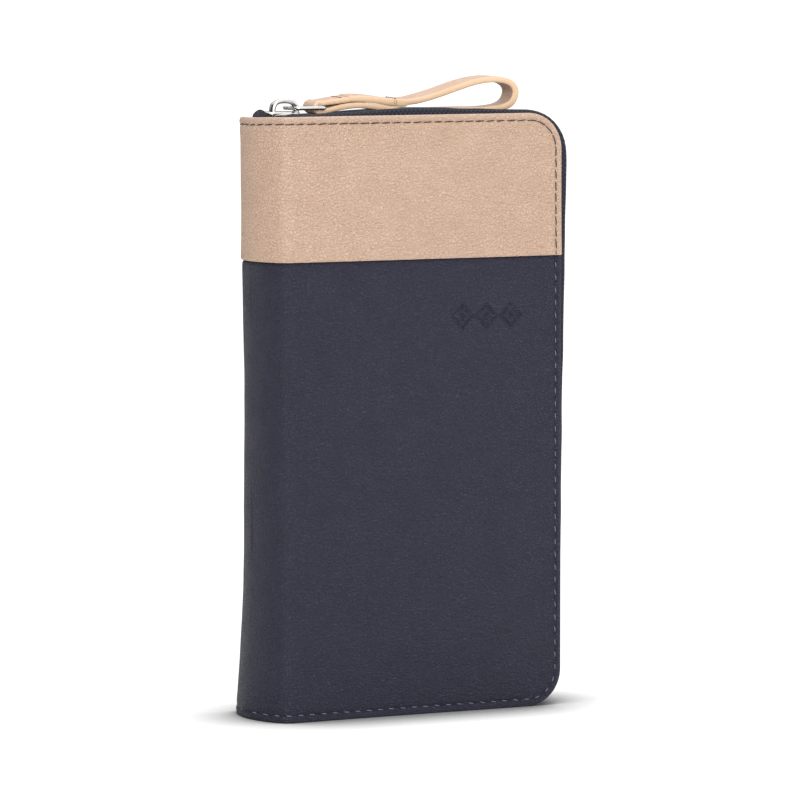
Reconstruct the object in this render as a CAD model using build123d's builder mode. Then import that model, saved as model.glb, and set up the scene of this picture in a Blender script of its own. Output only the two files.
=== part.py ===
from build123d import *
import math
import os

# Passport travel wallet: two stiffened leather covers on a soft spine, closed by a zip
# that runs from the top of the spine round the three open edges to its foot.
# Frame: x across the cover (spine at -x), y through the thickness (front cover at -y),
# z up, origin at the middle of the footprint on the bottom edge. Millimetres.

# ---- driving dimensions -------------------------------------------------------------
height = 200.0                 # cover, bottom edge to top edge
thickness = 31.0               # closed wallet, outer leather to outer leather
spine_x = -55.0                # outermost point of the rounded spine
cover_edge_x = 53.3            # free edge of the leather covers
corner_radius = 12.3           # the two free corners of each cover
colour_seam_z = 152.2          # navy leather below, beige leather above
leather_thickness = 1.2
board_thickness = 1.0
lining_thickness = 0.6
board_inset = 2.0              # the board stops this far inside the turned leather edge

fold_radius = 2.0              # outer radius of the leather where cover turns into spine
fold_turn = 57.0               # degrees turned at the fold; the bulge turns the rest
fold_gap = 0.4                 # free cut between cover leather and spine leather
cover_board_start_x = -47.6
pocket_start_x = -45.6
pocket_end_x = 46.6
pocket_foot_z = 10.0
pocket_head_z = height - pocket_foot_z
seam_width = 1.2               # sewn margin round a pocket
panel_thickness = 0.6          # pocket panels and linings

zip_start_x = -45.6            # where both zip tapes leave the spine
tape_thickness = 0.6
tape_flange_depth = 6.0        # how far the sewn flange reaches inside the cover
tape_inner_y = 1.1             # half the gap between the two tapes
tape_valley = 1.4              # outer face of the flat tape, below the leather edge
tape_crest = 1.7               # top of the tape's roll, above the leather edge
coil_height = 1.3
coil_width = 3.15
stop_length = 1.8

slider_left_x = -50.8
slider_right_x = -38.0
slider_width = 9.0
slider_slot_low_z = 197.8
slider_slot_high_z = 200.1
slider_top_z = 201.3
slider_foot_z = 196.9
slider_post_radius = 1.0       # the wedge that parts the coils runs between the tapes
bridge_top_z = 205.4
bridge_width = 3.2

ring_wire = 1.3
ring_z = 202.4
ring_hinge_x = -40.55
ring_far_x = -30.15
ring_half_width = 5.1
ring_corner = 0.8
ring_clearance = 0.1           # round the ring's wire, inside the strap's fold

strap_width = 8.6
strap_thickness = 1.5

card_rows = 4
card_row_step_x = 11.0
card_row_step_y = 1.0
card_panel_width = 50.0
card_first_left_x = -12.0

divider_half_thickness = 4.5
divider_start_x = -50.6
divider_end_x = 32.0
divider_foot_z = 8.0
divider_head_z = 192.0
sleeve_panel_y = -8.1
sleeve_head_z = 128.0
ticket_head_z = 96.0

coin_gap = 0.5                 # half the gap between the coin zip tapes
coin_slider_foot_z = 18.0
coin_slider_length = 9.0

# ---- worked out from them -----------------------------------------------------------
half = thickness / 2
turn_cos = math.cos(math.radians(fold_turn))
turn_sin = math.sin(math.radians(fold_turn))
bulge_radius = (half - fold_radius * (1 - turn_cos)) / turn_cos
fold_x = spine_x + fold_radius * turn_sin + bulge_radius * (1 - turn_sin)
bulge_centre_x = spine_x + bulge_radius
lining_face = half - leather_thickness - board_thickness - lining_thickness

os.makedirs("parts", exist_ok=True)


def save(piece, label):
    piece.part.label = label
    export_step(piece.part, f"parts/{label}.step")


def box_between(low, high, mode=Mode.ADD):
    """A box given by two opposite corners, inside the current BuildPart."""
    middle = tuple((a + b) / 2 for a, b in zip(low, high))
    size = tuple(b - a for a, b in zip(low, high))
    with Locations(middle):
        Box(*size, mode=mode)


def side_span(side, outer, depth):
    """Low and high y of a layer that starts at |y| = outer and goes inward by depth."""
    return sorted((side * outer, side * (outer - depth)))


# ---- covers -------------------------------------------------------------------------
def cover_layer(label, side, outer, depth, start_x, inset, low_z, high_z):
    """One flat layer of a cover, cut from the rounded cover outline."""
    low_y, high_y = side_span(side, outer, depth)
    end_x = cover_edge_x - inset
    with BuildPart() as layer:
        with BuildSketch(Plane.XZ.offset(-high_y)):
            with Locations(((start_x + end_x) / 2, height / 2)):
                Rectangle(end_x - start_x, height - 2 * inset)
            fillet(vertices().group_by(Axis.X)[-1], radius=corner_radius - inset)
            with Locations(((start_x + end_x) / 2, (low_z + high_z) / 2)):
                Rectangle(end_x - start_x, high_z - low_z, mode=Mode.INTERSECT)
        extrude(amount=high_y - low_y)
    save(layer, label)


board_outer = half - leather_thickness
lining_outer = board_outer - board_thickness
for name, side in (("front", -1), ("back", 1)):
    leather_start = fold_x + fold_gap
    cover_layer(f"{name}_leather_navy", side, half, leather_thickness, leather_start, 0, 0, colour_seam_z)
    cover_layer(
        f"{name}_leather_beige", side, half, leather_thickness, leather_start, 0, colour_seam_z, height
    )
    cover_layer(
        f"{name}_board", side, board_outer, board_thickness, cover_board_start_x, board_inset, 0, height
    )
    cover_layer(
        f"{name}_lining", side, lining_outer, lining_thickness, cover_board_start_x, board_inset, 0, height
    )


# ---- spine --------------------------------------------------------------------------
def spine_leather(label, low_z, high_z):
    """The rounded back with a tight fold at each side, a constant leather thickness."""
    outer_end = 270 - fold_turn
    bulge_turn = 2 * (90 - fold_turn)
    front_fold = (fold_x, -half + fold_radius)
    back_fold = (fold_x, half - fold_radius)
    inner_radius = fold_radius - leather_thickness
    with BuildPart() as leather:
        with BuildSketch(Plane.XY.offset(low_z)):
            with BuildLine():
                CenterArc(front_fold, fold_radius, 270, -fold_turn)
                CenterArc((bulge_centre_x, 0), bulge_radius, outer_end, -bulge_turn)
                CenterArc(back_fold, fold_radius, outer_end - bulge_turn, -fold_turn)
                Line((fold_x, half), (fold_x, half - leather_thickness))
                CenterArc(back_fold, inner_radius, 90, fold_turn)
                CenterArc((bulge_centre_x, 0), bulge_radius - leather_thickness, 90 + fold_turn, bulge_turn)
                CenterArc(front_fold, inner_radius, 90 + fold_turn + bulge_turn, fold_turn)
                Line((fold_x, leather_thickness - half), (fold_x, -half))
            make_face()
        extrude(amount=high_z - low_z)
    save(leather, label)


def spine_layer(label, outer_depth, inner_depth, flat_x, half_width, low_z, high_z):
    """A layer inside the bulge: its back follows the leather, its front is an arc or a flat."""
    with BuildPart() as layer:
        with BuildSketch(Plane.XY.offset(low_z)):
            with Locations((bulge_centre_x, 0)):
                Circle(bulge_radius - outer_depth)
            with Locations((spine_x, 0)):
                Rectangle(2 * (flat_x - spine_x), 2 * half_width, mode=Mode.INTERSECT)
            if inner_depth:
                with Locations((bulge_centre_x, 0)):
                    Circle(bulge_radius - inner_depth, mode=Mode.SUBTRACT)
        extrude(amount=high_z - low_z)
    save(layer, label)


spine_leather("spine_leather_navy", 0, colour_seam_z)
spine_leather("spine_leather_beige", colour_seam_z, height)
spine_board_depth = leather_thickness + board_thickness
spine_end = 4.0
spine_layer(
    "spine_board", leather_thickness, spine_board_depth, divider_start_x, 10.5, spine_end, height - spine_end
)
spine_layer("spine_lining", spine_board_depth, 0, divider_start_x, 9.0, spine_end, height - spine_end)
end_tab_x = slider_left_x - 0.5
spine_layer("zip_end_tab_top", leather_thickness, 0, end_tab_x, 6.0, height - spine_end, height + 0.8)
spine_layer("zip_end_tab_bottom", leather_thickness, 0, end_tab_x, 6.0, 0.3, spine_end)


# ---- main zip -----------------------------------------------------------------------
def sweep_round_edge(profile_high, profile_low):
    """Sweep one profile over the top and down the free edge, another along the foot.

    A profile is a list of (y, outward) points; outward is 0 at the leather's edge.
    """
    corner_x = cover_edge_x - corner_radius
    head_corner_z = height - corner_radius
    with BuildLine() as high_path:
        Line((zip_start_x, 0, height), (corner_x, 0, height))
        TangentArc((corner_x, 0, height), (cover_edge_x, 0, head_corner_z), tangent=(1, 0, 0))
        Line((cover_edge_x, 0, head_corner_z), (cover_edge_x, 0, corner_radius))
    with BuildSketch(Plane(origin=(zip_start_x, 0, height), x_dir=(0, 1, 0), z_dir=(1, 0, 0))) as high:
        Polygon(*profile_high, align=None)
    sweep(sections=high.sketch, path=high_path.line)
    with BuildLine() as low_path:
        TangentArc((cover_edge_x, 0, corner_radius), (corner_x, 0, 0), tangent=(0, 0, -1))
        Line((corner_x, 0, 0), (zip_start_x, 0, 0))
    edge_foot = Plane(origin=(cover_edge_x, 0, corner_radius), x_dir=(0, 1, 0), z_dir=(0, 0, -1))
    with BuildSketch(edge_foot) as low:
        Polygon(*profile_low, align=None)
    sweep(sections=low.sketch, path=low_path.line)


def zip_half(name, side):
    """Tape, coil and top stop of one half of the main zip."""
    tape_outer = lining_face
    tape_inner = lining_face - tape_thickness
    under = -tape_valley - tape_thickness
    rolled = [
        (tape_outer, -tape_flange_depth), (tape_outer, 0.4), (11.4, tape_crest), (9.8, tape_crest),
        (5.6, -tape_valley), (tape_inner_y, -tape_valley), (tape_inner_y, under), (5.8, under),
        (10.0, tape_crest - tape_thickness), (11.2, tape_crest - tape_thickness),
        (tape_inner, 0.2), (tape_inner, -tape_flange_depth),
    ]
    flat = [
        (tape_outer, -tape_flange_depth), (tape_outer, -tape_valley), (tape_inner_y, -tape_valley),
        (tape_inner_y, under), (tape_inner, under), (tape_inner, -tape_flange_depth),
    ]
    with BuildPart() as tape:
        sweep_round_edge([(side * y, d) for y, d in rolled], [(side * y, d) for y, d in flat])
    save(tape, f"zip_tape_{name}")

    coil_foot = -tape_valley
    coil_head = coil_foot + coil_height
    coil = [
        (side * 0.05, coil_foot), (side * 0.05, coil_head),
        (side * coil_width, coil_head), (side * coil_width, coil_foot),
    ]
    with BuildPart() as coil_row:
        sweep_round_edge(coil, coil)
        cut_end = zip_start_x + stop_length
        box_between((zip_start_x - 1, -5, height - 5), (cut_end, 5, height + 5), Mode.SUBTRACT)
        box_between((zip_start_x - 1, -5, -5), (cut_end + 1.2, 5, 5), Mode.SUBTRACT)
    save(coil_row, f"zip_coil_{name}")

    low_y, high_y = sorted((side * 1.3, side * 3.0))
    with BuildPart() as stop:
        box_between(
            (zip_start_x, low_y, height - tape_valley),
            (cut_end - 0.2, high_y, height - tape_valley + coil_height),
        )
        fillet(stop.edges().filter_by(Axis.X).group_by(Axis.Z)[-1], radius=0.4)
    save(stop, f"zip_top_stop_{name}")


zip_half("front", -1)
zip_half("back", 1)

with BuildPart() as zip_bottom_stop:
    box_between((zip_start_x, -0.45, tape_valley - coil_height), (zip_start_x + 2.6, 3.2, tape_valley))
    fillet(zip_bottom_stop.edges().filter_by(Axis.X).group_by(Axis.Z)[0], radius=0.4)
save(zip_bottom_stop, "zip_bottom_stop")

# ---- main slider --------------------------------------------------------------------
slider_length = slider_right_x - slider_left_x
slider_mid_x = (slider_left_x + slider_right_x) / 2
with BuildPart() as zip_slider_body:
    for plate_low, plate_high in ((slider_foot_z, slider_slot_low_z), (slider_slot_high_z, slider_top_z)):
        with BuildSketch(Plane.XY.offset(plate_low)):
            with Locations((slider_mid_x, 0)):
                Rectangle(slider_length, slider_width)
            fillet(vertices().group_by(Axis.X)[0], radius=3.2)
            fillet(vertices().group_by(Axis.X)[-1], radius=1.2)
        extrude(amount=plate_high - plate_low)
    with BuildSketch(Plane.XY.offset(slider_slot_low_z)):
        with Locations((slider_left_x + 1.6, 0)):
            Circle(slider_post_radius)
    extrude(amount=slider_slot_high_z - slider_slot_low_z)
    chamfer(zip_slider_body.faces().sort_by(Axis.Z)[-1].edges(), length=0.35)
save(zip_slider_body, "zip_slider_body")

bridge_left_x = -47.8
bridge_right_x = slider_right_x - 0.2
hole_left_x = -44.9
hole_right_x = -39.8
hole_top_z = 203.5
with BuildPart() as zip_slider_bridge:
    with BuildSketch(Plane.XZ.offset(-bridge_width / 2)):
        with BuildLine():
            Line((bridge_left_x, slider_top_z), (bridge_left_x, 203.0))
            ThreePointArc((bridge_left_x, 203.0), (-46.6, 204.7), (-43.8, bridge_top_z))
            ThreePointArc((-43.8, bridge_top_z), (-40.2, 204.6), (bridge_right_x, 202.6))
            Line((bridge_right_x, 202.6), (bridge_right_x, slider_top_z))
            Line((bridge_right_x, slider_top_z), (bridge_left_x, slider_top_z))
        make_face()
        with BuildLine():
            Line((hole_right_x, slider_top_z), (hole_left_x, slider_top_z))
            Line((hole_left_x, slider_top_z), (hole_left_x, 202.6))
            ThreePointArc((hole_left_x, 202.6), (-44.4, 203.25), (-43.4, hole_top_z))
            Line((-43.4, hole_top_z), (-41.0, hole_top_z))
            ThreePointArc((-41.0, hole_top_z), (-40.1, 203.2), (hole_right_x, 202.4))
            Line((hole_right_x, 202.4), (hole_right_x, slider_top_z))
        make_face(mode=Mode.SUBTRACT)
    extrude(amount=bridge_width)
save(zip_slider_bridge, "zip_slider_bridge")

with BuildSketch(Plane.XY.offset(ring_z)) as ring_outline:
    with Locations(((ring_hinge_x + ring_far_x) / 2, 0)):
        RectangleRounded(ring_far_x - ring_hinge_x, 2 * ring_half_width, ring_corner)
ring_path = ring_outline.sketch.wires()[0]
with BuildPart() as pull_ring:
    with BuildSketch(Plane(origin=ring_path @ 0, z_dir=ring_path % 0)):
        Circle(ring_wire / 2)
    sweep(path=ring_path)
save(pull_ring, "pull_ring")

# ---- wrist strap --------------------------------------------------------------------
# One leather strip: it wraps the ring's far bar, its ends are sewn together for the first
# third, and the rest stands open as a loop.
wrap_radius = ring_wire / 2 + ring_clearance + strap_thickness
wrap_top = (ring_far_x, ring_z + wrap_radius)
wrap_foot = (ring_far_x, ring_z - wrap_radius)
wrap_back = (ring_far_x - wrap_radius, ring_z)
strap_rest_z = 200.25          # the strap's underside where it lies on the zip
loop_floor_z = strap_rest_z + strap_thickness
with BuildPart() as pull_strap:
    with BuildSketch(Plane.XZ.offset(-strap_width / 2)):
        with BuildLine():
            ThreePointArc(wrap_top, wrap_back, wrap_foot)
            Spline(
                wrap_foot, (-24.5, 201.5), (-18.0, 202.0), (-11.0, 201.4), (0.0, strap_rest_z),
                tangents=((1, 0), (1, 0)),
            )
            Line((0.0, strap_rest_z), (31.0, strap_rest_z))
            Spline(
                (31.0, strap_rest_z), (39.0, 202.2), (42.6, 206.4), (39.6, 211.1), (31.5, 212.0),
                (18.3, 208.8), (5.0, 204.9), (-6.0, 205.1), (-17.0, 206.2),
                tangents=((1, 0), (-1, 0)),
            )
            Spline((-17.0, 206.2), (-23.5, 205.4), wrap_top, tangents=((-1, 0), (-1, 0)))
        make_face()
        with BuildLine():
            Line((2.0, loop_floor_z), (30.5, loop_floor_z))
            Spline(
                (30.5, loop_floor_z), (37.9, 203.4), (41.1, 206.6), (38.6, 209.9), (31.5, 210.5),
                (18.8, 207.3), (2.0, 202.6),
                tangents=((1, 0), (-1, -0.1)),
            )
            Line((2.0, 202.6), (2.0, loop_floor_z))
        make_face(mode=Mode.SUBTRACT)
        with Locations((ring_far_x, ring_z)):
            Circle(ring_wire / 2 + ring_clearance, mode=Mode.SUBTRACT)
    extrude(amount=strap_width)
save(pull_strap, "pull_strap")

# ---- front cover pockets ------------------------------------------------------------
sleeve_back_y = sleeve_panel_y + panel_thickness
with BuildPart() as passport_sleeve:
    box_between((pocket_start_x, sleeve_panel_y, pocket_foot_z), (pocket_end_x, sleeve_back_y, sleeve_head_z))
    box_between(
        (pocket_start_x, -lining_face, pocket_foot_z),
        (pocket_start_x + seam_width, sleeve_panel_y, sleeve_head_z),
    )
    box_between(
        (pocket_end_x - seam_width, -lining_face, pocket_foot_z),
        (pocket_end_x, sleeve_panel_y, sleeve_head_z),
    )
    box_between(
        (pocket_start_x, -lining_face, pocket_foot_z),
        (pocket_end_x, sleeve_panel_y, pocket_foot_z + seam_width),
    )
    with BuildSketch(Plane.XZ.offset(-sleeve_back_y)):
        with Locations((0, sleeve_head_z)):
            Circle(11.0)
    extrude(amount=panel_thickness, mode=Mode.SUBTRACT)
save(passport_sleeve, "passport_sleeve")

ticket_gap = 0.4
ticket_y = sleeve_back_y + ticket_gap
with BuildPart() as ticket_pocket:
    box_between(
        (pocket_start_x, ticket_y, pocket_foot_z),
        (pocket_end_x, ticket_y + panel_thickness, ticket_head_z),
    )
    for left_x in (pocket_start_x, pocket_end_x - seam_width):
        box_between((left_x, sleeve_back_y, pocket_foot_z), (left_x + seam_width, ticket_y, ticket_head_z))
    box_between(
        (pocket_start_x, sleeve_back_y, pocket_foot_z),
        (pocket_end_x, ticket_y, pocket_foot_z + seam_width),
    )
save(ticket_pocket, "ticket_pocket")

# ---- back cover pockets -------------------------------------------------------------
note_gap = 0.6
note_outer_y = lining_face - note_gap
note_inner_y = note_outer_y - panel_thickness
with BuildPart() as note_pocket:
    box_between((pocket_start_x, note_inner_y, pocket_foot_z), (pocket_end_x, note_outer_y, pocket_head_z))
    box_between(
        (pocket_start_x, note_outer_y, pocket_foot_z),
        (pocket_start_x + seam_width, lining_face, pocket_head_z),
    )
    for seam_z in (pocket_foot_z, pocket_head_z - seam_width):
        box_between((pocket_start_x, note_outer_y, seam_z), (pocket_end_x, lining_face, seam_z + seam_width))
save(note_pocket, "note_pocket")

card_seam_levels = (pocket_foot_z, height / 2 - seam_width / 2, pocket_head_z - seam_width)
for row in range(card_rows):
    left_x = card_first_left_x - row * card_row_step_x
    right_x = left_x + card_panel_width
    outer_y = note_inner_y - card_row_step_y + panel_thickness - row * card_row_step_y
    inner_y = outer_y - panel_thickness
    below_y = note_inner_y - row * card_row_step_y
    step_x = left_x + (card_row_step_x if row else 0)
    with BuildPart() as card_slot:
        box_between((left_x, inner_y, pocket_foot_z), (right_x, outer_y, pocket_head_z))
        box_between((left_x, outer_y, pocket_foot_z), (left_x + seam_width, note_inner_y, pocket_head_z))
        for seam_z in card_seam_levels:
            if row:
                box_between((left_x, outer_y, seam_z), (step_x, note_inner_y, seam_z + seam_width))
            box_between((step_x, outer_y, seam_z), (right_x, below_y, seam_z + seam_width))
    save(card_slot, f"card_slot_{row + 1}")

# ---- coin pocket on the spine -------------------------------------------------------
divider_inner_y = divider_half_thickness - panel_thickness
coin_tape_x = divider_end_x - 2 * panel_thickness
coil_x = coin_tape_x + tape_thickness
for name, side in (("front", -1), ("back", 1)):
    low_y, high_y = side_span(side, divider_half_thickness, panel_thickness)
    with BuildPart() as divider:
        box_between((divider_start_x, low_y, divider_foot_z), (divider_end_x, high_y, divider_head_z))
    save(divider, f"divider_panel_{name}")

    low_y, high_y = sorted((side * coin_gap, side * divider_inner_y))
    with BuildPart() as coin_tape:
        box_between(
            (coin_tape_x, low_y, divider_foot_z + seam_width),
            (coil_x, high_y, divider_head_z - seam_width),
        )
    save(coin_tape, f"coin_zip_tape_{name}")

    low_y, high_y = sorted((side * 0.05, side * 1.9))
    with BuildPart() as coin_coil:
        box_between((coil_x, low_y, coin_slider_foot_z + 4), (coil_x + 1.0, high_y, divider_head_z - 6))
    save(coin_coil, f"coin_zip_coil_{name}")

with BuildPart() as coin_gusset:
    box_between(
        (divider_start_x, -divider_inner_y, divider_foot_z),
        (divider_start_x + seam_width, divider_inner_y, divider_head_z),
    )
    for seam_z in (divider_foot_z, divider_head_z - seam_width):
        box_between(
            (divider_start_x, -divider_inner_y, seam_z),
            (divider_end_x, divider_inner_y, seam_z + seam_width),
        )
save(coin_gusset, "coin_gusset")

with BuildPart() as coin_zip_stops:
    box_between((coil_x, -1.9, divider_head_z - 5.8), (coil_x + 1.0, 1.9, divider_head_z - 4))
    for low_y, high_y in ((-1.9, -0.7), (0.7, 1.9)):
        box_between((coil_x, low_y, coin_slider_foot_z - 3), (coil_x + 1.0, high_y, coin_slider_foot_z - 1.4))
save(coin_zip_stops, "coin_zip_stops")

# ---- coin pocket slider and pull ----------------------------------------------------
coin_slider_width = 6.4
coin_plate = 0.8
coin_slot_low_x = coin_tape_x - 0.2
coin_slot_high_x = coil_x + 1.2
coin_slider_head_z = coin_slider_foot_z + coin_slider_length
coin_slider_face_x = coin_slot_high_x + coin_plate
with BuildPart() as coin_slider_body:
    for plate_low in (coin_slot_low_x - coin_plate, coin_slot_high_x):
        with BuildSketch(Plane.YZ.offset(plate_low)):
            with Locations((0, (coin_slider_foot_z + coin_slider_head_z) / 2)):
                Rectangle(coin_slider_width, coin_slider_length)
            fillet(vertices().group_by(Axis.Y)[0], radius=2.2)
            fillet(vertices().group_by(Axis.Y)[-1], radius=0.9)
        extrude(amount=coin_plate)
    with BuildSketch(Plane.YZ.offset(coin_slot_low_x)):
        with Locations((0, coin_slider_foot_z + 1.3)):
            Circle(0.4)
    extrude(amount=coin_slot_high_x - coin_slot_low_x)
save(coin_slider_body, "coin_slider_body")

coin_bridge_foot_z = coin_slider_foot_z + 1.5
coin_bridge_head_z = coin_slider_foot_z + 7.0
coin_bridge_wall = 1.0
coin_bridge_reach = 2.7
with BuildPart() as coin_slider_bridge:
    box_between(
        (coin_slider_face_x, -1.2, coin_bridge_foot_z),
        (coin_slider_face_x + coin_bridge_reach, 1.2, coin_bridge_head_z),
    )
    fillet(coin_slider_bridge.edges().filter_by(Axis.Y).group_by(Axis.X)[-1], radius=1.0)
    box_between(
        (coin_slider_face_x, -1.2, coin_bridge_foot_z + coin_bridge_wall),
        (coin_slider_face_x + coin_bridge_reach - 0.8, 1.2, coin_bridge_head_z - coin_bridge_wall),
        Mode.SUBTRACT,
    )
save(coin_slider_bridge, "coin_slider_bridge")

pull_bar = 0.9
pull_left_x = coin_slider_face_x + 0.5
pull_head_z = coin_bridge_foot_z + coin_bridge_wall + 0.15 + pull_bar
pull_length = 15.5
with BuildPart() as coin_pull:
    with BuildSketch(Plane.YZ.offset(pull_left_x)):
        with Locations((0, pull_head_z - pull_length / 2)):
            RectangleRounded(5.6, pull_length, 0.8)
        with Locations((0, pull_head_z - pull_bar - 3.1)):
            Rectangle(3.0, 6.2, mode=Mode.SUBTRACT)
    extrude(amount=pull_bar)
    fillet(coin_pull.edges().filter_by(GeomType.LINE).filter_by(Axis.Y).group_by(Axis.Z)[-1], radius=0.3)
save(coin_pull, "coin_pull")
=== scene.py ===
import math

import bmesh
import bpy
import numpy as np
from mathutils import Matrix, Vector, noise


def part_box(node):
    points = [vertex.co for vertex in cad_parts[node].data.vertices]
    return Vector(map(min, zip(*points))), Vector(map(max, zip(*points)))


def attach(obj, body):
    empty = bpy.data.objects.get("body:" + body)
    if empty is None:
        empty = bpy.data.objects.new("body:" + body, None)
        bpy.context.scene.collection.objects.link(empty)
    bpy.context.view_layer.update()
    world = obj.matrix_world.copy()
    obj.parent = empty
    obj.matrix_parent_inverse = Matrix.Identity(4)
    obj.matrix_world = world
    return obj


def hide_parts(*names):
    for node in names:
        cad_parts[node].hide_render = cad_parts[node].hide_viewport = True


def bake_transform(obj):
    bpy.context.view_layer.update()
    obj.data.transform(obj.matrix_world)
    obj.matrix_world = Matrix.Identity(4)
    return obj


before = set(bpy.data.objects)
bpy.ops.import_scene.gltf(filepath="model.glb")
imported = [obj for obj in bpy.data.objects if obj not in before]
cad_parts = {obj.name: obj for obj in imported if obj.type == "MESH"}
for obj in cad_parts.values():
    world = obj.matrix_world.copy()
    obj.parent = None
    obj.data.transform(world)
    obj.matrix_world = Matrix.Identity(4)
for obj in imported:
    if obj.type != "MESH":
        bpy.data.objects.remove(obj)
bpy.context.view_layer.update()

# Passport travel wallet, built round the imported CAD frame. Lengths in this file are
# millimetres in the CAD's own frame; they become metres where a mesh or a light is made.
METRE = 0.001
UV_SCALE = 0.01                # one UV unit is 100 mm on every piece
QUARTER = math.pi / 2


def node_box(name):
    """Lowest and highest corner of a CAD node, in millimetres."""
    low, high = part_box(name)
    return np.array(low) / METRE, np.array(high) / METRE


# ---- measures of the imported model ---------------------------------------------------
beige_low, beige_high = node_box("front_leather_beige")
HEIGHT, EDGE_X, HALF, SEAM_Z = beige_high[2], beige_high[0], -beige_low[1], beige_low[2]
SPINE_X = node_box("spine_leather_navy")[0][0]
LINING_Y = node_box("back_lining")[0][1]
ZIP_X = node_box("zip_tape_front")[0][0]
CORNER = 12.3                  # radius of the cover's corners
FOLD_RADIUS = 4.5              # softer than the CAD fold, as leather is
STITCH_PITCH = 3.9             # also the spacing of the dimples along the stitch line
FOLD_TURN = math.radians(57)   # the fold's share of the quarter turn; the spine's bulge has the rest
BULGE_TURN = QUARTER - FOLD_TURN
BULGE_RADIUS = (HALF - FOLD_RADIUS * (1 - math.cos(FOLD_TURN))) / math.cos(FOLD_TURN)
BULGE_X = SPINE_X + BULGE_RADIUS
FOLD_X = SPINE_X + FOLD_RADIUS * math.sin(FOLD_TURN) + BULGE_RADIUS * (1 - math.sin(FOLD_TURN))
BULGE_LENGTH = BULGE_RADIUS * BULGE_TURN
FLAT_START = BULGE_LENGTH + FOLD_RADIUS * FOLD_TURN
SKIN_LENGTH = FLAT_START + EDGE_X - FOLD_X
RUN = SKIN_LENGTH - CORNER
RISE = HEIGHT - 2 * CORNER
FRONT, BACK = -1, 1
COVER = {FRONT: "front_cover", BACK: "back_cover"}
SIDE_NAME = {FRONT: "front", BACK: "back"}


# ---- meshes -------------------------------------------------------------------------
def grid(rows, columns, base=0, wrap=False):
    """Quads over a block of rows x columns vertices that starts at number base."""
    faces = []
    for i in range(rows - 1):
        for j in range(columns if wrap else columns - 1):
            k = (j + 1) % columns
            a, b = base + i * columns, base + (i + 1) * columns
            faces.append((a + j, a + k, b + k, b + j))
    return faces


class Shape:
    """Vertices, faces, UVs and wear with painted highlight of one piece, gathered part by part."""

    def __init__(self):
        self.points, self.uvs, self.wear, self.faces, self.kinds, self.count = [], [], [], [], [], 0

    def add(self, points, faces, uv=None, wear=None, kinds=None):
        """kinds are the faces' material numbers, all 0 if left out."""
        points = np.asarray(points, float).reshape(-1, 3)
        size = len(points)
        self.points.append(points)
        self.uvs.append(points[:, [0, 2]] if uv is None else np.asarray(uv, float).reshape(-1, 2))
        self.wear.append(np.zeros(size) if wear is None else np.asarray(wear, float).ravel())
        self.faces += [tuple(self.count + v for v in face) for face in faces]
        self.kinds += kinds or [0] * len(faces)
        self.count += size

    def build(self, name, materials, slot, crease=40.0):
        """The finished Blender object: welded, facing outwards, smooth up to the crease angle."""
        points = np.vstack(self.points) * METRE
        uvs, wear = np.vstack(self.uvs) * UV_SCALE, np.concatenate(self.wear)
        mesh = bpy.data.meshes.new(name)
        mesh.from_pydata(points.tolist(), [], self.faces)
        corner_vertex = np.zeros(len(mesh.loops), np.int32)
        mesh.loops.foreach_get("vertex_index", corner_vertex)
        mesh.uv_layers.new(name="UVMap").data.foreach_set("uv", uvs[corner_vertex].ravel())
        mesh.attributes.new("wear", "FLOAT", "POINT").data.foreach_set("value", wear)
        mesh.polygons.foreach_set("material_index", self.kinds)
        for material in materials:
            mesh.materials.append(material)
        work = bmesh.new()
        work.from_mesh(mesh)
        bmesh.ops.remove_doubles(work, verts=work.verts, dist=1e-7)
        bmesh.ops.recalc_face_normals(work, faces=work.faces)
        work.to_mesh(mesh)
        work.free()
        mesh.shade_smooth()
        mesh.set_sharp_from_angle(angle=math.radians(crease))
        piece = bpy.data.objects.new(name, mesh)
        bpy.context.scene.collection.objects.link(piece)
        return piece


def spaced(low, high, step):
    """Even stops from low to high, about step apart."""
    return np.linspace(low, high, max(1, round(abs(high - low) / step)) + 1)


def joined(*parts):
    """One rising list from several, without repeats."""
    whole = np.sort(np.concatenate([np.atleast_1d(p) for p in parts]))
    return whole[np.concatenate(([True], np.diff(whole) > 1e-4))]


def refined(low, high, step, fine_low=None, fine_high=None, fine_step=None):
    """Evenly spaced stops with a finer stretch between fine_low and fine_high."""
    if fine_low is None:
        return spaced(low, high, step)
    return joined(
        spaced(low, fine_low, step), spaced(fine_low, fine_high, fine_step), spaced(fine_high, high, step)
    )


def bump_at(value, centre, width):
    """A smooth hump of height 1 at centre."""
    return np.exp(-(((value - centre) / width) ** 2))


def run_along(line):
    """Distance run along a line at each of its points."""
    return np.concatenate(([0], np.cumsum(np.linalg.norm(np.diff(line, axis=0), axis=1))))


def spread(*parts):
    """The parts, broadcast to one layout, as the coordinates of each point."""
    return np.stack(np.broadcast_arrays(*parts), -1)


def smooth_step(value, low, high):
    """0 below low, 1 above high, smooth between."""
    t = np.clip((value - low) / (high - low), 0, 1)
    return t * t * (3 - 2 * t)


def ripple(points, size, seed=0.0):
    """Smooth noise between about -1 and 1 at each of the points, over distances of size mm."""
    flat = np.asarray(points, float).reshape(-1, np.asarray(points).shape[-1])
    if flat.shape[1] == 2:
        flat = np.column_stack([flat, np.zeros(len(flat))])
    values = [noise.noise(Vector(p / size + seed)) for p in flat]
    return np.array(values).reshape(np.asarray(points).shape[:-1])


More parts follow.
